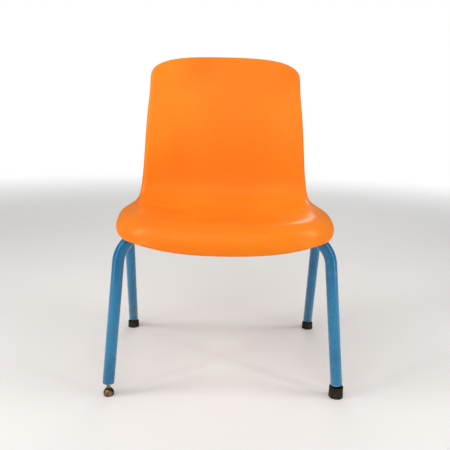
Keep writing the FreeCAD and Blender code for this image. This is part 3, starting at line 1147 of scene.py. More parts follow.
    @staticmethod
    def rounding(share: float, power: float) -> float:
        """Follow a superellipse's quarter: 0 at the nose, 1 where the corner ends."""
        return (1 - (1 - min(max(share, 0.0), 1.0)) ** power) ** (1 / power)

    def crest_half(self, s: float) -> float:
        """Half-width of the crest line, corners included.

        Args:
            s: length along the middle line.

        Returns:
            The half-width.
        """
        front = self.rounding(s / self.seat_corner, self.seat_corner_power)
        back = self.rounding((self.length - s) / self.back_corner, self.back_corner_power)
        return self.half_width(s) * front * back

    def corner_rule(self, at_front: bool) -> Pair:
        """Size of a rounded corner.

        Args:
            at_front: at the seat's front, or else at the top of the back.

        Returns:
            The corner's length and exponent.
        """
        if at_front:
            return self.seat_corner, self.seat_corner_power
        return self.back_corner, self.back_corner_power

    def corner(self, at_front: bool) -> Pair:
        """Middle of a rounded corner of the crest line.

        Args:
            at_front: at the seat's front, or else at the top of the back.

        Returns:
            Its place across and along.
        """
        size, power = self.corner_rule(at_front)
        inset = size * (1 - 2 ** (-1 / power))
        s = inset if at_front else self.length - inset
        return self.crest_half(s), s

    def field_corner(self, at_front: bool) -> Pair:
        """Corner of the plain field inside the rim."""
        a, s = self.corner(at_front)
        return a - self.margin, s + self.margin if at_front else s - self.margin

    def end_crest(self, at_front: bool, u: float) -> Pair:
        """Crest line across the front or the top.

        Args:
            at_front: across the seat's front, or else the top of the back.
            u: from -1 at one corner to 1 at the other.

        Returns:
            The place across and along.
        """
        a_corner, _ = self.corner(at_front)
        size, power = self.corner_rule(at_front)
        width = a_corner / 2 ** (-1 / power)
        a = a_corner * u
        s = size * (1 - (1 - (abs(a) / width) ** power) ** (1 / power))
        return a, s if at_front else self.length - s

    def crowded(self, t: float) -> float:
        """Share of a side's length, with the sections closer together at its ends."""
        return t - self.crowding * math.sin(2 * math.pi * t) / (2 * math.pi)

    def section(self, field: Pair, crest: Pair, roll: Roll, crease: float) -> List[Vector]:
        """Points from the plain field over the crest and round the rolled rim.

        Args:
            field: place on the field's edge, across and along.
            crest: place on the crest line.
            roll: the rim's reach and drop there.
            crease: angle at which the rim leaves the sheet, in degrees.

        Returns:
            The points, from the field outwards.
        """
        flat = (self.sheet(*crest) - self.sheet(*field)).length
        full = math.radians(self.roll_angle)
        roll_step = full * math.hypot(roll.reach, roll.drop) / math.sqrt(2) / self.roll_steps
        grading = math.log(flat / roll_step) / math.log(self.flat_steps)
        points = []
        for i in range(self.flat_steps + 1):
            t = 1 - (1 - i / self.flat_steps) ** grading
            points.append(self.sheet(
                field[0] + (crest[0] - field[0]) * t,
                field[1] + (crest[1] - field[1]) * t,
            ))
        top = points[-1]
        before = self.sheet(
            crest[0] + (field[0] - crest[0]) * self.near_share,
            crest[1] + (field[1] - crest[1]) * self.near_share,
        )
        outward = (top - before).normalized()
        up = self.normal(*crest)
        up = (up - outward * up.dot(outward)).normalized()
        turn = math.radians(crease)
        away = outward * math.cos(turn) - up * math.sin(turn)
        over = outward * math.sin(turn) + up * math.cos(turn)
        for i in range(1, self.roll_steps + 1):
            angle = (full - turn) * i / self.roll_steps
            reach = away * (roll.reach * math.sin(angle))
            points.append(top + reach - over * (roll.drop * (1 - math.cos(angle))))
        return points

    @lru_cache(maxsize=None)
    def rim_section(self, x: float, y: float) -> Tuple[Vector, ...]:
        """Section that leaves the field's edge at a place of the flat pattern.

        Args:
            x: from -1 to 1 across.
            y: from -1 at the front to 1 at the top.

        Returns:
            The section's points.
        """
        if abs(x) >= abs(y):
            t = self.crowded((y + 1) / 2)
            (a0, s0), (a1, s1) = self.field_corner(True), self.field_corner(False)
            start, end = self.corner(True)[1], self.corner(False)[1]
            s = start + (end - start) * t
            field = (x * (a0 + (a1 - a0) * t), s0 + (s1 - s0) * t)
            return tuple(self.section(field, (x * self.crest_half(s), s), self.roll(s), self.crease(s)))
        at_front = y < 0
        a_field, s_field = self.field_corner(at_front)
        corner_s = self.corner(at_front)[1]
        side, middle = self.roll(corner_s), self.front_roll if at_front else self.top_roll
        share = abs(x) ** self.roll_power
        roll = Roll(
            middle.reach * (1 - share) + side.reach * share,
            middle.drop * (1 - share) + side.drop * share,
        )
        crease = self.crease(corner_s) * share
        return tuple(self.section((a_field * x, s_field), self.end_crest(at_front, x), roll, crease))

    def shaped(self, x: float, y: float) -> Vector:
        """Place on the shell of a point of the flat pattern.

        Args:
            x: across, within -1 and 1 on the field and beyond on the rim.
            y: along, as x.

        Returns:
            The point in the frame.
        """
        size = max(abs(x), abs(y))
        if size <= 1 + self.ring_step / 2:
            (a0, s0), (a1, s1) = self.field_corner(True), self.field_corner(False)
            t = self.crowded((y + 1) / 2)
            point = self.sheet(x * (a0 + (a1 - a0) * t), s0 + (s1 - s0) * t)
        else:
            ring = round((size - 1) / self.ring_step)
            edge_x, edge_y = round(x / size, self.pattern_digits), round(y / size, self.pattern_digits)
            point = self.rim_section(edge_x, edge_y)[ring]
        return point + Vector((0.0, self.datum_y, 0.0))

    def under(self, x: float, y: float) -> float:
        """Height of the underside at a place of the seat.

        Args:
            x: place across the chair.
            y: depth in the frame.

        Returns:
            The height.
        """
        low, high = 0.0, self.place(self.hip_share)
        for _ in range(self.halvings):
            middle = (low + high) / 2
            if self.sheet(x, middle).y + self.datum_y < y:
                low = middle
            else:
                high = middle
        return self.sheet(x, low).z - self.wall / self.normal(x, low).z

    def moulding(self) -> bpy.types.Object:
        """Model the sheet and its rim from a flat pattern.

        Returns:
            The shell without its bosses.
        """
        bpy.ops.mesh.primitive_grid_add(x_subdivisions=self.across, y_subdivisions=self.along, size=2.0)
        obj = started("seat_shell_moulding")
        edit(obj, select=False)
        bpy.ops.mesh.select_non_manifold(extend=False)
        for ring in range(self.flat_steps + self.roll_steps):
            wider = (1 + self.ring_step * (ring + 1)) / (1 + self.ring_step * ring)
            stretch(Vector((0.0, 0.0, 0.0)))
            bpy.ops.transform.resize(value=(wider, wider, 1.0), center_override=(0.0, 0.0, 0.0))
        leave_edit()
        for vertex in obj.data.vertices:
            vertex.co = self.shaped(vertex.co.x, vertex.co.y)
        edit(obj)
        bpy.ops.mesh.normals_make_consistent(inside=False)
        leave_edit()
        middle = self.shaped(*self.seat_middle)
        seat = min(obj.data.polygons, key=lambda p: (p.center - middle).length)
        if seat.normal.z < 0:
            edit(obj)
            bpy.ops.mesh.flip_normals()
            leave_edit()
        walled(obj, self.wall)
        apply_modifier(obj, "SUBSURF", levels=self.refinement, render_levels=self.refinement)
        smooth(obj, degrees=60.0)
        return obj

    def model(self, paint: Paintbox) -> None:
        """Model the shell and hand it over."""
        paint.hand_over(self.moulding(), Slot.SHELL, FRAME_BODY, "seat_shell")


# Frame

@dataclass(frozen=True)
class Hoop:
    """Tube bent to an inverted U: two legs and the crossbar under the seat."""

    name: str
    foot_x: float
    foot_y: float
    lean: float
    splay: float
    bar_z: float
    end_z: float
    datum_y: float
    tube_r: float = 0.009525
    wall: float = 0.0016
    ease: float = 0.0004
    bend_r: float = 0.052
    bend_steps: int = 20

    @property
    def forward(self) -> int:
        """-1 for the front hoop and 1 for the rear one."""
        return -1 if self.foot_y < 0 else 1

    @property
    def plane_up(self) -> Vector:
        """Direction up the hoop's plane."""
        tilt = math.radians(self.lean)
        return Vector((0.0, -self.forward * math.sin(tilt), math.cos(tilt)))

    @property
    def height(self) -> float:
        """Height of the crossbar along the plane, above the tube ends."""
        return (self.bar_z - self.end_z) / self.plane_up.z

    def point(self, x: float, height: float) -> Vector:
        """Point of the hoop's plane, at a height along it above the tube ends."""
        return Vector((x, self.foot_y + self.datum_y, self.end_z)) + self.plane_up * height

    @property
    def bar_y(self) -> float:
        """Depth of the crossbar's middle line."""
        return self.point(0.0, self.height).y

    def leg_axis(self, side: int) -> Vector:
        """Unit direction up a leg."""
        slope = math.radians(self.splay)
        return (Vector((-side * math.sin(slope), 0, 0)) + self.plane_up * math.cos(slope)).normalized()

    def tube(self) -> bpy.types.Object:
        """Model the bent tube: a circle extruded up one leg, spun round both bends and down again.

        Returns:
            The tube.
        """
        turn = math.pi / 2 - math.radians(self.splay)
        tangent = self.bend_r * math.tan(turn / 2)
        corner_x = self.foot_x - self.height * math.tan(math.radians(self.splay))
        up, down = self.leg_axis(-1), -self.leg_axis(1)
        foot = self.point(-self.foot_x, 0.0)
        left, right = self.point(-corner_x, self.height), self.point(corner_x, self.height)
        across = Vector((1.0, 0.0, 0.0))
        axis = up.cross(across).normalized()
        bpy.ops.mesh.primitive_circle_add(
            vertices=AROUND, radius=self.tube_r, location=foot,
            rotation=up.to_track_quat("Z", "X").to_euler(),
        )
        obj = started(f"{self.name}_tube")
        placed(obj)
        edit(obj)
        start = left - up * tangent
        stretch(start - foot)
        self.bend(left, -up, across, turn, axis)
        bar_start, bar_end = left + across * tangent, right - across * tangent
        stretch(bar_end - bar_start)
        self.bend(right, -across, down, turn, axis)
        end = self.point(self.foot_x, 0.0)
        stretch(end - (right + down * tangent))
        leave_edit()
        finished_tube(obj, self.wall, self.ease)
        return obj

    def bend(self, corner: Vector, back: Vector, ahead: Vector, turn: float, axis: Vector) -> None:
        """Spin the tube's last ring round a bend.

        Args:
            corner: where the two straight middle lines would meet.
            back: direction from there to the run before.
            ahead: direction from there along the run after.
            turn: angle of the bend.
            axis: direction of the bend's axis.
        """
        inward = (back + ahead).normalized()
        centre = corner + inward * (self.bend_r / math.cos(turn / 2))
        bpy.ops.mesh.spin(
            steps=self.bend_steps, dupli=False, angle=-turn, center=tuple(centre), axis=tuple(axis),
        )


@dataclass(frozen=True)
class SideRail:
    """Straight tube between the two crossbars, with a rippled weld round each end."""

    side: int
    front: Hoop
    rear: Hoop
    x: float = 0.062
    tube_r: float = 0.00795
    wall: float = 0.0015
    ease: float = 0.0003
    around: int = 40
    inset_share: float = 0.8
    bead_r: float = 0.0026
    bead_around: int = 156
    bead_across: int = 12
    bead_lift: float = 0.3
    ripples: int = 26
    ripple: float = 0.16
    ripple_middle: float = 0.5

    @property
    def word(self) -> str:
        """The side in words, as in the node's name."""
        return "left" if self.side < 0 else "right"

    def end(self, hoop: Hoop) -> Vector:
        """Where the rail's middle line meets a crossbar's."""
        return Vector((self.side * self.x, hoop.bar_y, hoop.bar_z))

    def tube(self) -> bpy.types.Object:
        """Model the rail between the walls of the two crossbars.

        Returns:
            The rail.
        """
        start, end = self.end(self.front), self.end(self.rear)
        along = (end - start).normalized()
        inset = self.front.tube_r * self.inset_share
        start, end = start + along * inset, end - along * inset
        bpy.ops.mesh.primitive_circle_add(
            vertices=self.around, radius=self.tube_r, location=start,
            rotation=along.to_track_quat("Z", "X").to_euler(),
        )
        obj = started(f"side_rail_{self.word}_tube")
        placed(obj)
        edit(obj)
        stretch(end - start)
        leave_edit()
        finished_tube(obj, self.wall, self.ease)
        return obj

    def bead(self, hoop: Hoop, other: Hoop, name: str) -> bpy.types.Object:
        """Model the weld round one end as a rippled ring on the saddle line of the two tubes.

        Args:
            hoop: the hoop whose crossbar it joins.
            other: the hoop at the rail's other end.
            name: the piece's name.

        Returns:
            The weld.
        """
        start = self.end(hoop)
        along = (self.end(other) - start).normalized()
        across = Vector((1.0, 0.0, 0.0))
        up = across.cross(along) if along.y > 0 else along.cross(across)
        lift = self.bead_lift * self.bead_r
        bpy.ops.mesh.primitive_torus_add(
            major_segments=self.bead_around, minor_segments=self.bead_across,
            major_radius=self.tube_r, minor_radius=self.bead_r,
        )
        obj = started(name)
        placed(obj)
        for vertex in obj.data.vertices:
            angle = math.atan2(vertex.co.y, vertex.co.x)
            out = math.hypot(vertex.co.x, vertex.co.y) - self.tube_r
            wave = 1 + self.ripple * (abs(math.sin(angle * self.ripples / 2)) - self.ripple_middle)
            ring = self.tube_r + (out + lift) * wave
            height = vertex.co.z * wave
            x, z = ring * math.cos(angle), ring * math.sin(angle)
            level = min(abs(self.tube_r * math.sin(angle)), hoop.tube_r)
            saddle = math.sqrt(hoop.tube_r ** 2 - level ** 2) + lift
            vertex.co = start + across * x + up * z + along * (saddle + height)
        cleaned(obj)
        smooth(obj, degrees=50.0)
        return obj

    def model(self, paint: Paintbox) -> None:
        """Model the rail with its welds and hand them over.

        Args:
            paint: the finishes.
        """
        paint.hand_over(self.tube(), Slot.PAINT, FRAME_BODY, f"side_rail_{self.word}")
        for hoop, other, end in ((self.front, self.rear, "front"), (self.rear, self.front, "rear")):
            bead = self.bead(hoop, other, f"rail_weld_{end}_{self.word}")
            paint.hand_over(bead, Slot.PAINT, FRAME_BODY, "rail_welds")


@dataclass(frozen=True)
class Fixing:
    """Bracket with its weld, boss, insert, washer and screw at one corner of the seat."""

    corner: Corner
    hoop: Hoop
    shell: SeatShell
    bracket_x: float = 0.095
    bracket_w: float = 0.030
    bracket_t: float = 0.003
    bracket_ease: float = 0.0004
    reach: float = 0.022
    seat: float = 0.0008
    weld_inset: float = 0.004
    weld_r: float = 0.0036
    weld_around: int = 20
    weld_along: int = 72
    weld_place: float = 0.93
    weld_end_power: int = 5
    weld_ripple: float = 0.08
    weld_ripples: int = 9
    weld_depth: float = 0.8
    weld_height: float = 0.75
    weld_drop: float = 0.25
    boss_r: float = 0.009
    boss_edge: float = 0.0005
    boss_flare: float = 0.0035
    boss_root: float = 0.0018
    flare_steps: int = 6
    insert_r: float = 0.0042
    insert_l: float = 0.006
    insert_ease: float = 0.0003
    insert_mouth: float = 0.0004
    insert_clear: float = 0.0001
    washer_r: float = 0.0065
    washer_t: float = 0.001
    washer_ease: float = 0.00015
    hole_r: float = 0.0028
    screw_r: float = 0.0025
    head_r: float = 0.0048
    head_h: float = 0.0032
    head_round: float = 0.0014
    socket_r: float = 0.0017
    socket_depth: float = 0.0018
    socket_sides: int = 6
    thread_l: float = 0.0055
    thread_pitch: float = 0.0008
    thread_depth: float = 0.0003
    tip_ease: float = 0.0002

    @property
    def x(self) -> float:
        """Place of the screw across the chair."""
        return self.corner.side * self.bracket_x

    @property
    def inward(self) -> int:
        """Direction in Y from the crossbar to the screw."""
        return -self.hoop.forward

    @property
    def y(self) -> float:
        """Depth of the screw."""
        return self.hoop.bar_y + self.inward * self.reach

    @property
    def bottom(self) -> float:
        """Height of the bracket's underside."""
        return self.hoop.bar_z + self.hoop.tube_r - self.seat

    @property
    def axis(self) -> Vector:
        """A point on the screw's axis."""
        return Vector((self.x, self.y, 0.0))

    def bracket(self) -> bpy.types.Object:
        """Copy the bracket plate, with its edges eased."""
        end = self.corner.value
        return merged_copy(f"seat_bracket_{end}", f"bracket_plate_{end}", self.bracket_ease)

    def weld(self) -> bpy.types.Object:
        """Model the weld between bracket and crossbar as a rippled bead.

        Returns:
            The weld.
        """
        length = self.bracket_w - 2 * self.weld_inset
        depth = self.weld_place * self.hoop.tube_r
        bpy.ops.mesh.primitive_uv_sphere_add(
            segments=self.weld_around, ring_count=self.weld_along, rotation=(0.0, math.pi / 2, 0.0),
        )
        obj = started(f"bracket_weld_{self.corner.value}")
        placed(obj)
        for vertex in obj.data.vertices:
            t = max(-1.0, min(1.0, vertex.co.x))
            share = math.asin(t) / (math.pi / 2)
            size = math.sqrt(1 - abs(share) ** self.weld_end_power)
            wave = 1 + self.weld_ripple * math.cos(share * self.weld_ripples * math.pi)
            ring = math.hypot(vertex.co.y, vertex.co.z)
            y, z = (vertex.co.y / ring, vertex.co.z / ring) if ring > TIP else (0.0, 0.0)
            radius = self.weld_r * size * wave
            vertex.co = Vector((
                self.x + share * length / 2,
                self.hoop.bar_y + self.inward * depth + y * radius * self.weld_depth,
                self.bottom - self.weld_drop * self.weld_r + z * radius * self.weld_height,
            ))
        cleaned(obj)
        smooth(obj, degrees=60.0)
        return obj

    def boss(self) -> bpy.types.Object:
        """Model the boss that stands under the seat, flared where it grows out of it.

        Returns:
            The boss.
        """
        foot = self.bottom + self.bracket_t
        root = self.shell.under(self.x, self.y)
        flare = []
        for step in range(self.flare_steps + 1):
            share = step / self.flare_steps
            wider = self.boss_flare * (1 - math.cos(math.pi / 2 * share))
            flare.append((self.boss_r + wider, root - self.boss_flare * (1 - share)))
        profile = [
            (self.insert_r, foot),
            (self.boss_r - self.boss_edge, foot),
            (self.boss_r, foot + self.boss_edge),
            *flare,
            (self.boss_r, root + self.boss_root),
            (self.insert_r, root + self.boss_root),
        ]
        return turned(f"seat_boss_{self.corner.value}", profile, self.axis, closed=True, degrees=40.0)

    def insert(self) -> bpy.types.Object:
        """Model the threaded insert, its mouth chamfered.

        Returns:
            The insert.
        """
        foot = self.bottom + self.bracket_t
        top = foot + self.insert_l
        bore = self.screw_r + self.insert_clear
        profile = [
            (self.screw_r + self.insert_mouth, foot),
            (self.insert_r - self.insert_ease, foot),
            (self.insert_r, foot + self.insert_ease),
            (self.insert_r, top),
            (bore, top),
            (bore, foot + self.insert_mouth),
        ]
        return turned(f"insert_{self.corner.value}", profile, self.axis, closed=True, degrees=30.0)

    def washer(self) -> bpy.types.Object:
        """Model the washer with eased edges.

        Returns:
            The washer.
        """
        low, high, ease = self.bottom - self.washer_t, self.bottom, self.washer_ease
        profile = [
            (self.hole_r, low),
            (self.washer_r - ease, low),
            (self.washer_r, low + ease),
            (self.washer_r, high - ease),
            (self.washer_r - ease, high),
            (self.hole_r, high),
        ]
        return turned(f"washer_{self.corner.value}", profile, self.axis, closed=True, degrees=30.0)

    def screw(self) -> bpy.types.Object:
        """Model the screw: a domed head with a hexagon socket, and a threaded shank.

        Returns:
            The screw.
        """
        under = self.bottom - self.washer_t
        low = under - self.head_h
        centre = (self.head_r - self.head_round, low + self.head_round)
        dome = arc(centre, self.head_round, -90.0, 0.0, steps=8)
        shank = [(self.head_r, under), (self.screw_r, under)]
        end = self.bottom + self.bracket_t + self.thread_l
        core = self.screw_r - self.thread_depth
        turns = int((end - self.bottom) / self.thread_pitch)
        for i in range(turns):
            height = self.bottom + self.thread_pitch * i
            shank.append((self.screw_r, height))
            shank.append((core, height + self.thread_pitch / 2))
        shank += [(core, end - self.tip_ease), (self.screw_r - 2 * self.thread_depth, end)]
        name = f"screw_{self.corner.value}"
        obj = turned(name, dome + shank, self.axis, closed=False, degrees=30.0)
        bpy.ops.mesh.primitive_cylinder_add(
            vertices=self.socket_sides, radius=self.socket_r, depth=2 * self.socket_depth,
            location=(self.x, self.y, low),
        )
        socket = started(f"{name}_socket")
        apply_modifier(obj, "BOOLEAN", operation="DIFFERENCE", object=socket, solver="EXACT")
        bpy.data.objects.remove(socket)
        smooth(obj, degrees=30.0)
        return obj

    def model(self, paint: Paintbox) -> None:
        """Model the fixing and hand its pieces over.

        Args:
            paint: the finishes.
        """
        end = self.corner.value
        paint.hand_over(self.bracket(), Slot.PAINT, FRAME_BODY, f"seat_bracket_{end}")
        paint.hand_over(self.weld(), Slot.PAINT, FRAME_BODY, "bracket_welds")
        paint.hand_over(self.boss(), Slot.SHELL, FRAME_BODY, "seat_shell")
        paint.hand_over(self.insert(), Slot.BRASS, FRAME_BODY, "boss_inserts")
        paint.hand_over(self.washer(), Slot.ZINC, FRAME_BODY, "screw_washers")
        paint.hand_over(self.screw(), Slot.ZINC, FRAME_BODY, "seat_screws")


@dataclass(frozen=True)
class Glide:
    """Swivel glide at one foot: plug, ball stud, race ring, base and, on three feet, a boot."""

    corner: Corner
    hoop: Hoop
    booted: bool
    stem_r: float = 0.003
    stem_in: float = 0.011
    neck_r: float = 0.0024
    neck_clear: float = 0.0012
    ball_r: float = 0.0036
    ball_z: float = 0.0062
    cavity_r: float = 0.00475
    base_r: float = 0.0084
    base_h: float = 0.0106
    base_top_r: float = 0.0056
    shoulder_z: float = 0.006
    mouth_r: float = 0.0043
    mouth_low_r: float = 0.0033
    edge: float = 0.0006
    knee_r: float = 0.0024
    knee_turn: float = 48.0
    crown_inset: float = 0.0004
    crown_r: float = 0.0005
    crown_start: float = 40.0
    cavity_end: float = -80.0
    cavity_flat: float = 0.0004
    ball_start: float = -88.0
    neck_ease: float = 0.0003
    stem_ease: float = 0.0002
    boot_wall: float = 0.00285
    boot_flare: float = 0.0004
    boot_rim: float = 0.0008
    boot_mouth: float = 0.0004
    groove: float = 0.00035
    groove_shares: Tuple[float, ...] = (0.42, 0.45, 0.5, 0.53)
    plug_ease: float = 0.0003

    @property
    def axis(self) -> Vector:
        """A point on the glide's upright axis."""
        return Vector((self.corner.side * self.hoop.foot_x, self.hoop.foot_y + self.hoop.datum_y, 0.0))

    @property
    def boot_top(self) -> float:
        """Height of the boot, from its solid."""
        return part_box(f"glide_boot_{self.corner.value}")[1].z

    def base(self) -> bpy.types.Object:
        """Model the bell of the glide: rounded foot, shoulder, mouth and the cavity for the ball.

        Returns:
            The base.
        """
        foot = arc((self.base_r - self.edge, self.edge), self.edge, -90.0, 0.0, steps=4)
        knee_at = (self.base_r - self.knee_r, self.shoulder_z - self.edge)
        knee = arc(knee_at, self.knee_r, 0.0, self.knee_turn, steps=7)
        crown_at = (self.base_top_r - self.crown_inset, self.base_h - self.crown_r)
        crown = arc(crown_at, self.crown_r, self.crown_start, 90.0, steps=4)
        opening = math.degrees(math.acos(self.mouth_low_r / self.cavity_r))
        inner = arc((0.0, self.ball_z), self.cavity_r, opening, self.cavity_end, steps=12)
        end = (self.cavity_flat, self.ball_z - self.cavity_r)
        profile = [*foot, *knee, *crown, (self.mouth_r, self.base_h), *inner, end]
        return turned(f"glide_bell_{self.corner.value}", profile, self.axis, closed=False, degrees=32.0)

    def stud(self) -> bpy.types.Object:
        """Model the stem, neck and ball in one piece.

        Returns:
            The stud.
        """
        shoulder = self.base_h + self.neck_clear
        top = self.hoop.end_z + self.stem_in
        meet = math.degrees(math.acos(self.neck_r / self.ball_r))
        profile = [
            *arc((0.0, self.ball_z), self.ball_r, self.ball_start, meet, steps=16),
            (self.neck_r, shoulder - self.neck_ease),
            (self.neck_r + self.neck_ease, shoulder),
            (self.stem_r - self.stem_ease, shoulder),
            (self.stem_r, shoulder + self.stem_ease),
            (self.stem_r, top - self.stem_ease),
            (self.stem_r - self.stem_ease, top),
        ]
        name = f"glide_ball_stud_{self.corner.value}"
        return turned(name, profile, self.axis, closed=False, degrees=32.0)

    def boot(self) -> bpy.types.Object:
        """Model the rubber boot: flared at the floor, with a groove and a rounded lip on top.

        Returns:
            The boot.
        """
        top = self.boot_top
        outer = self.base_r + self.boot_wall
        foot_at = (outer + self.boot_flare - self.boot_rim, self.boot_rim)
        foot = arc(foot_at, self.boot_rim, -90.0, 0.0, steps=4)
        lip = arc((outer - self.boot_rim, top - self.boot_rim), self.boot_rim, 0.0, 90.0, steps=5)
        radii = (outer, outer - self.groove, outer - self.groove, outer)
        groove = [(radius, share * top) for radius, share in zip(radii, self.groove_shares)]
        mouth = [(self.base_r + self.boot_mouth, top), (self.base_r, top - self.boot_mouth)]
        profile = [(self.base_r, 0.0), *foot, *groove, *lip, *mouth]
        name = f"glide_boot_rubber_{self.corner.value}"
        return turned(name, profile, self.axis, closed=True, degrees=40.0)

    def model(self, paint: Paintbox) -> None:
        """Model the glide and hand its pieces over.

        Args:
            paint: the finishes.
        """
        end = self.corner.value
        plug = merged_copy(f"glide_plug_{end}", f"glide_tube_plug_{end}", self.plug_ease)
        paint.hand_over(plug, Slot.PLUG, FRAME_BODY, f"glide_plug_{end}")
        paint.hand_over(self.stud(), Slot.GLIDE, FRAME_BODY, f"glide_stud_{end}")
        race = merged_copy(f"glide_race_{end}", f"glide_race_ring_{end}")
        paint.hand_over(race, Slot.RACE, f"race_{end}", f"glide_race_{end}")
        paint.hand_over(self.base(), Slot.GLIDE, f"base_{end}", f"glide_base_{end}")
        if self.booted:
            paint.hand_over(self.boot(), Slot.BOOT, f"base_{end}", f"glide_boot_{end}")


# Studio

@dataclass(frozen=True)
class Lamp:
    """A soft rectangular lamp that looks at the chair."""

    name: str
    place: Place
    width: float
    height: float
    power: float

    def build(self, target: Vector) -> None:
        """Add the lamp to the scene.

        Args:
            target: the point that it faces.
        """
        data = bpy.data.lights.new(self.name, "AREA")
        data.shape = "RECTANGLE"
        data.size = self.width
        data.size_y = self.height
        data.energy = self.power
        lamp = bpy.data.objects.new(self.name, data)
        bpy.context.scene.collection.objects.link(lamp)
        direction = target - Vector(self.place)
        lamp.location = self.place
        lamp.rotation_euler = direction.to_track_quat("-Z", "Y").to_euler()


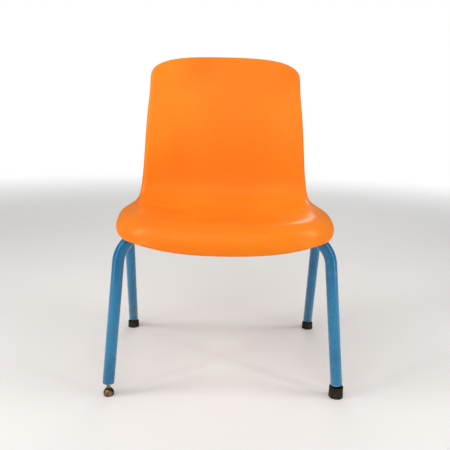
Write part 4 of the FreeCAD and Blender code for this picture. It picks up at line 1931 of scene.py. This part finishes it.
@dataclass(frozen=True)
class Studio:
    """Pale floor, soft lamps, white surroundings and the camera."""

    datum_y: float
    camera_place: Place = (-0.0194, -0.8455, 0.4245)
    yaw: float = 0.0244
    pitch: float = 0.1963
    roll: float = 0.0207
    lens: float = 38.0
    sensor: float = 36.0
    nearest: float = 0.01
    target: Place = (0.0, 0.0, 0.3)
    ambient: float = 0.42
    mirrored: float = 0.1
    floor_colour: str = "#E9E7E4"
    floor_shade: str = "#DAD7D2"
    floor_tone: Mottle = Mottle(3.0, 4.0, 0.3, 0.7, 0.0, 0.05)
    floor_roughness: float = 0.75
    floor_size: float = 24.0
    floor_fade: Pair = (0.9, 4.0)
    lamps: Tuple[Lamp, ...] = (
        Lamp("left softbox", (-1.4, -0.35, 1.55), 0.5, 0.8, 11.5),
        Lamp("right softbox", (1.4, -0.25, 1.55), 0.5, 0.8, 9.0),
        Lamp("front softbox", (-0.25, -1.15, 1.6), 1.5, 1.0, 10.0),
        Lamp("back softbox", (0.2, 1.8, 1.4), 1.2, 0.8, 8.0),
        Lamp("left strip", (-1.05, -0.75, 0.48), 0.08, 0.92, 2.8),
        Lamp("right strip", (1.05, -0.75, 0.48), 0.08, 0.92, 2.8),
    )

    def camera(self) -> None:
        """Add the camera at the photograph's viewing angle."""
        ahead = Vector((
            math.sin(self.yaw) * math.cos(self.pitch),
            math.cos(self.yaw) * math.cos(self.pitch),
            -math.sin(self.pitch),
        ))
        level = Vector((math.cos(self.yaw), -math.sin(self.yaw), 0.0))
        up = level.cross(ahead)
        right = level * math.cos(self.roll) + up * math.sin(self.roll)
        top = up * math.cos(self.roll) - level * math.sin(self.roll)
        data = bpy.data.cameras.new("camera")
        data.lens = self.lens
        data.sensor_width = self.sensor
        data.clip_start = self.nearest
        camera = bpy.data.objects.new("camera", data)
        bpy.context.scene.collection.objects.link(camera)
        turn = Matrix((right, top, -ahead)).transposed().to_4x4()
        place = Vector(self.camera_place) + Vector((0.0, self.datum_y, 0.0))
        camera.matrix_world = Matrix.Translation(place) @ turn
        bpy.context.scene.camera = camera

    def surroundings(self) -> None:
        """Add the world: white to the camera, faint in reflections and a plain soft level on the object."""
        world = bpy.data.worlds.new("studio")
        world.use_nodes = True
        tree = world.node_tree
        tree.nodes.clear()
        paths = tree.nodes.new("ShaderNodeLightPath")
        seen = tree.nodes.new("ShaderNodeMath")
        seen.operation = "MAXIMUM"
        tree.links.new(paths.outputs["Is Camera Ray"], seen.inputs[0])
        tree.links.new(paths.outputs["Is Transmission Ray"], seen.inputs[1])
        level = tree.nodes.new("ShaderNodeMapRange")
        tree.links.new(paths.outputs["Is Glossy Ray"], level.inputs["Value"])
        level.inputs["To Min"].default_value = self.ambient
        level.inputs["To Max"].default_value = self.mirrored
        light = tree.nodes.new("ShaderNodeBackground")
        light.inputs["Color"].default_value = (1.0, 1.0, 1.0, 1.0)
        strength = tree.nodes.new("ShaderNodeMath")
        strength.operation = "MAXIMUM"
        tree.links.new(seen.outputs[0], strength.inputs[0])
        tree.links.new(level.outputs["Result"], strength.inputs[1])
        tree.links.new(strength.outputs[0], light.inputs["Strength"])
        output = tree.nodes.new("ShaderNodeOutputWorld")
        tree.links.new(light.outputs["Background"], output.inputs["Surface"])
        bpy.context.scene.world = world

    def floor(self) -> None:
        """Add the pale floor, which fades into the white surroundings far from the chair."""
        bpy.ops.mesh.primitive_plane_add(size=self.floor_size)
        floor = started("studio_floor")
        g = Graph("studio floor")
        colour = g.mixed(g.mottle(self.floor_tone), tint(self.floor_colour), tint(self.floor_shade))
        material = g.surface(Base_Color=colour, Roughness=self.floor_roughness)
        shader = next(n for n in g.tree.nodes if n.type == "BSDF_PRINCIPLED")
        white = g.tree.nodes.new("ShaderNodeEmission")
        white.inputs["Strength"].default_value = 1.0
        x, y = g.axis("X"), g.axis("Y")
        far = g.maths("SQRT", g.maths("ADD", g.maths("MULTIPLY", x, x), g.maths("MULTIPLY", y, y)), 0.0)
        fade = g.between(far, *self.floor_fade)
        paths = g.tree.nodes.new("ShaderNodeLightPath")
        share = g.maths("MULTIPLY", fade, paths.outputs["Is Camera Ray"])
        mix = g.tree.nodes.new("ShaderNodeMixShader")
        g.feed(mix.inputs["Fac"], share)
        g.tree.links.new(shader.outputs["BSDF"], mix.inputs[1])
        g.tree.links.new(white.outputs["Emission"], mix.inputs[2])
        side = g.tree.nodes.new("ShaderNodeNewGeometry")
        clear = g.tree.nodes.new("ShaderNodeBsdfTransparent")
        from_below = g.tree.nodes.new("ShaderNodeMixShader")
        g.feed(from_below.inputs["Fac"], side.outputs["Backfacing"])
        g.tree.links.new(mix.outputs["Shader"], from_below.inputs[1])
        g.tree.links.new(clear.outputs["BSDF"], from_below.inputs[2])
        g.tree.links.new(from_below.outputs["Shader"], g.output.inputs["Surface"])
        floor.data.materials.append(material)

    def build(self) -> None:
        """Set up the whole studio."""
        bpy.context.scene.view_settings.view_transform = "Standard"
        self.camera()
        self.surroundings()
        self.floor()
        for lamp in self.lamps:
            lamp.build(Vector(self.target))


def main() -> None:
    """Build the chair's sub-assemblies in order and set up the studio."""
    logging.basicConfig(level=logging.INFO, format="%(message)s")
    low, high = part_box("glide_stud_fl")
    datum_y = (low.y + high.y) / 2 + FOOT_Y
    paint = Paintbox()
    shell = SeatShell(datum_y)
    front = Hoop(
        name="front_hoop", foot_x=0.1854, foot_y=-FOOT_Y, lean=5.6, splay=4.74, bar_z=0.265, end_z=0.021,
        datum_y=datum_y,
    )
    rear = Hoop(
        name="rear_hoop", foot_x=0.1911, foot_y=FOOT_Y, lean=20.2, splay=2.1, bar_z=0.252, end_z=0.018,
        datum_y=datum_y,
    )
    shell.model(paint)
    for hoop in (front, rear):
        tube = hoop.tube()
        paint.hand_over(tube, Slot.PAINT, FRAME_BODY, hoop.name)
        paint.wear_end(tube, hoop.end_z)
    for side in (-1, 1):
        SideRail(side, front, rear).model(paint)
    for corner in Corner:
        hoop = front if corner.at_front else rear
        Fixing(corner, hoop, shell).model(paint)
        Glide(corner, hoop, booted=corner is not Corner.FRONT_LEFT).model(paint)
    Studio(datum_y).build()
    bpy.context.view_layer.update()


if __name__ == "__main__":
    main()
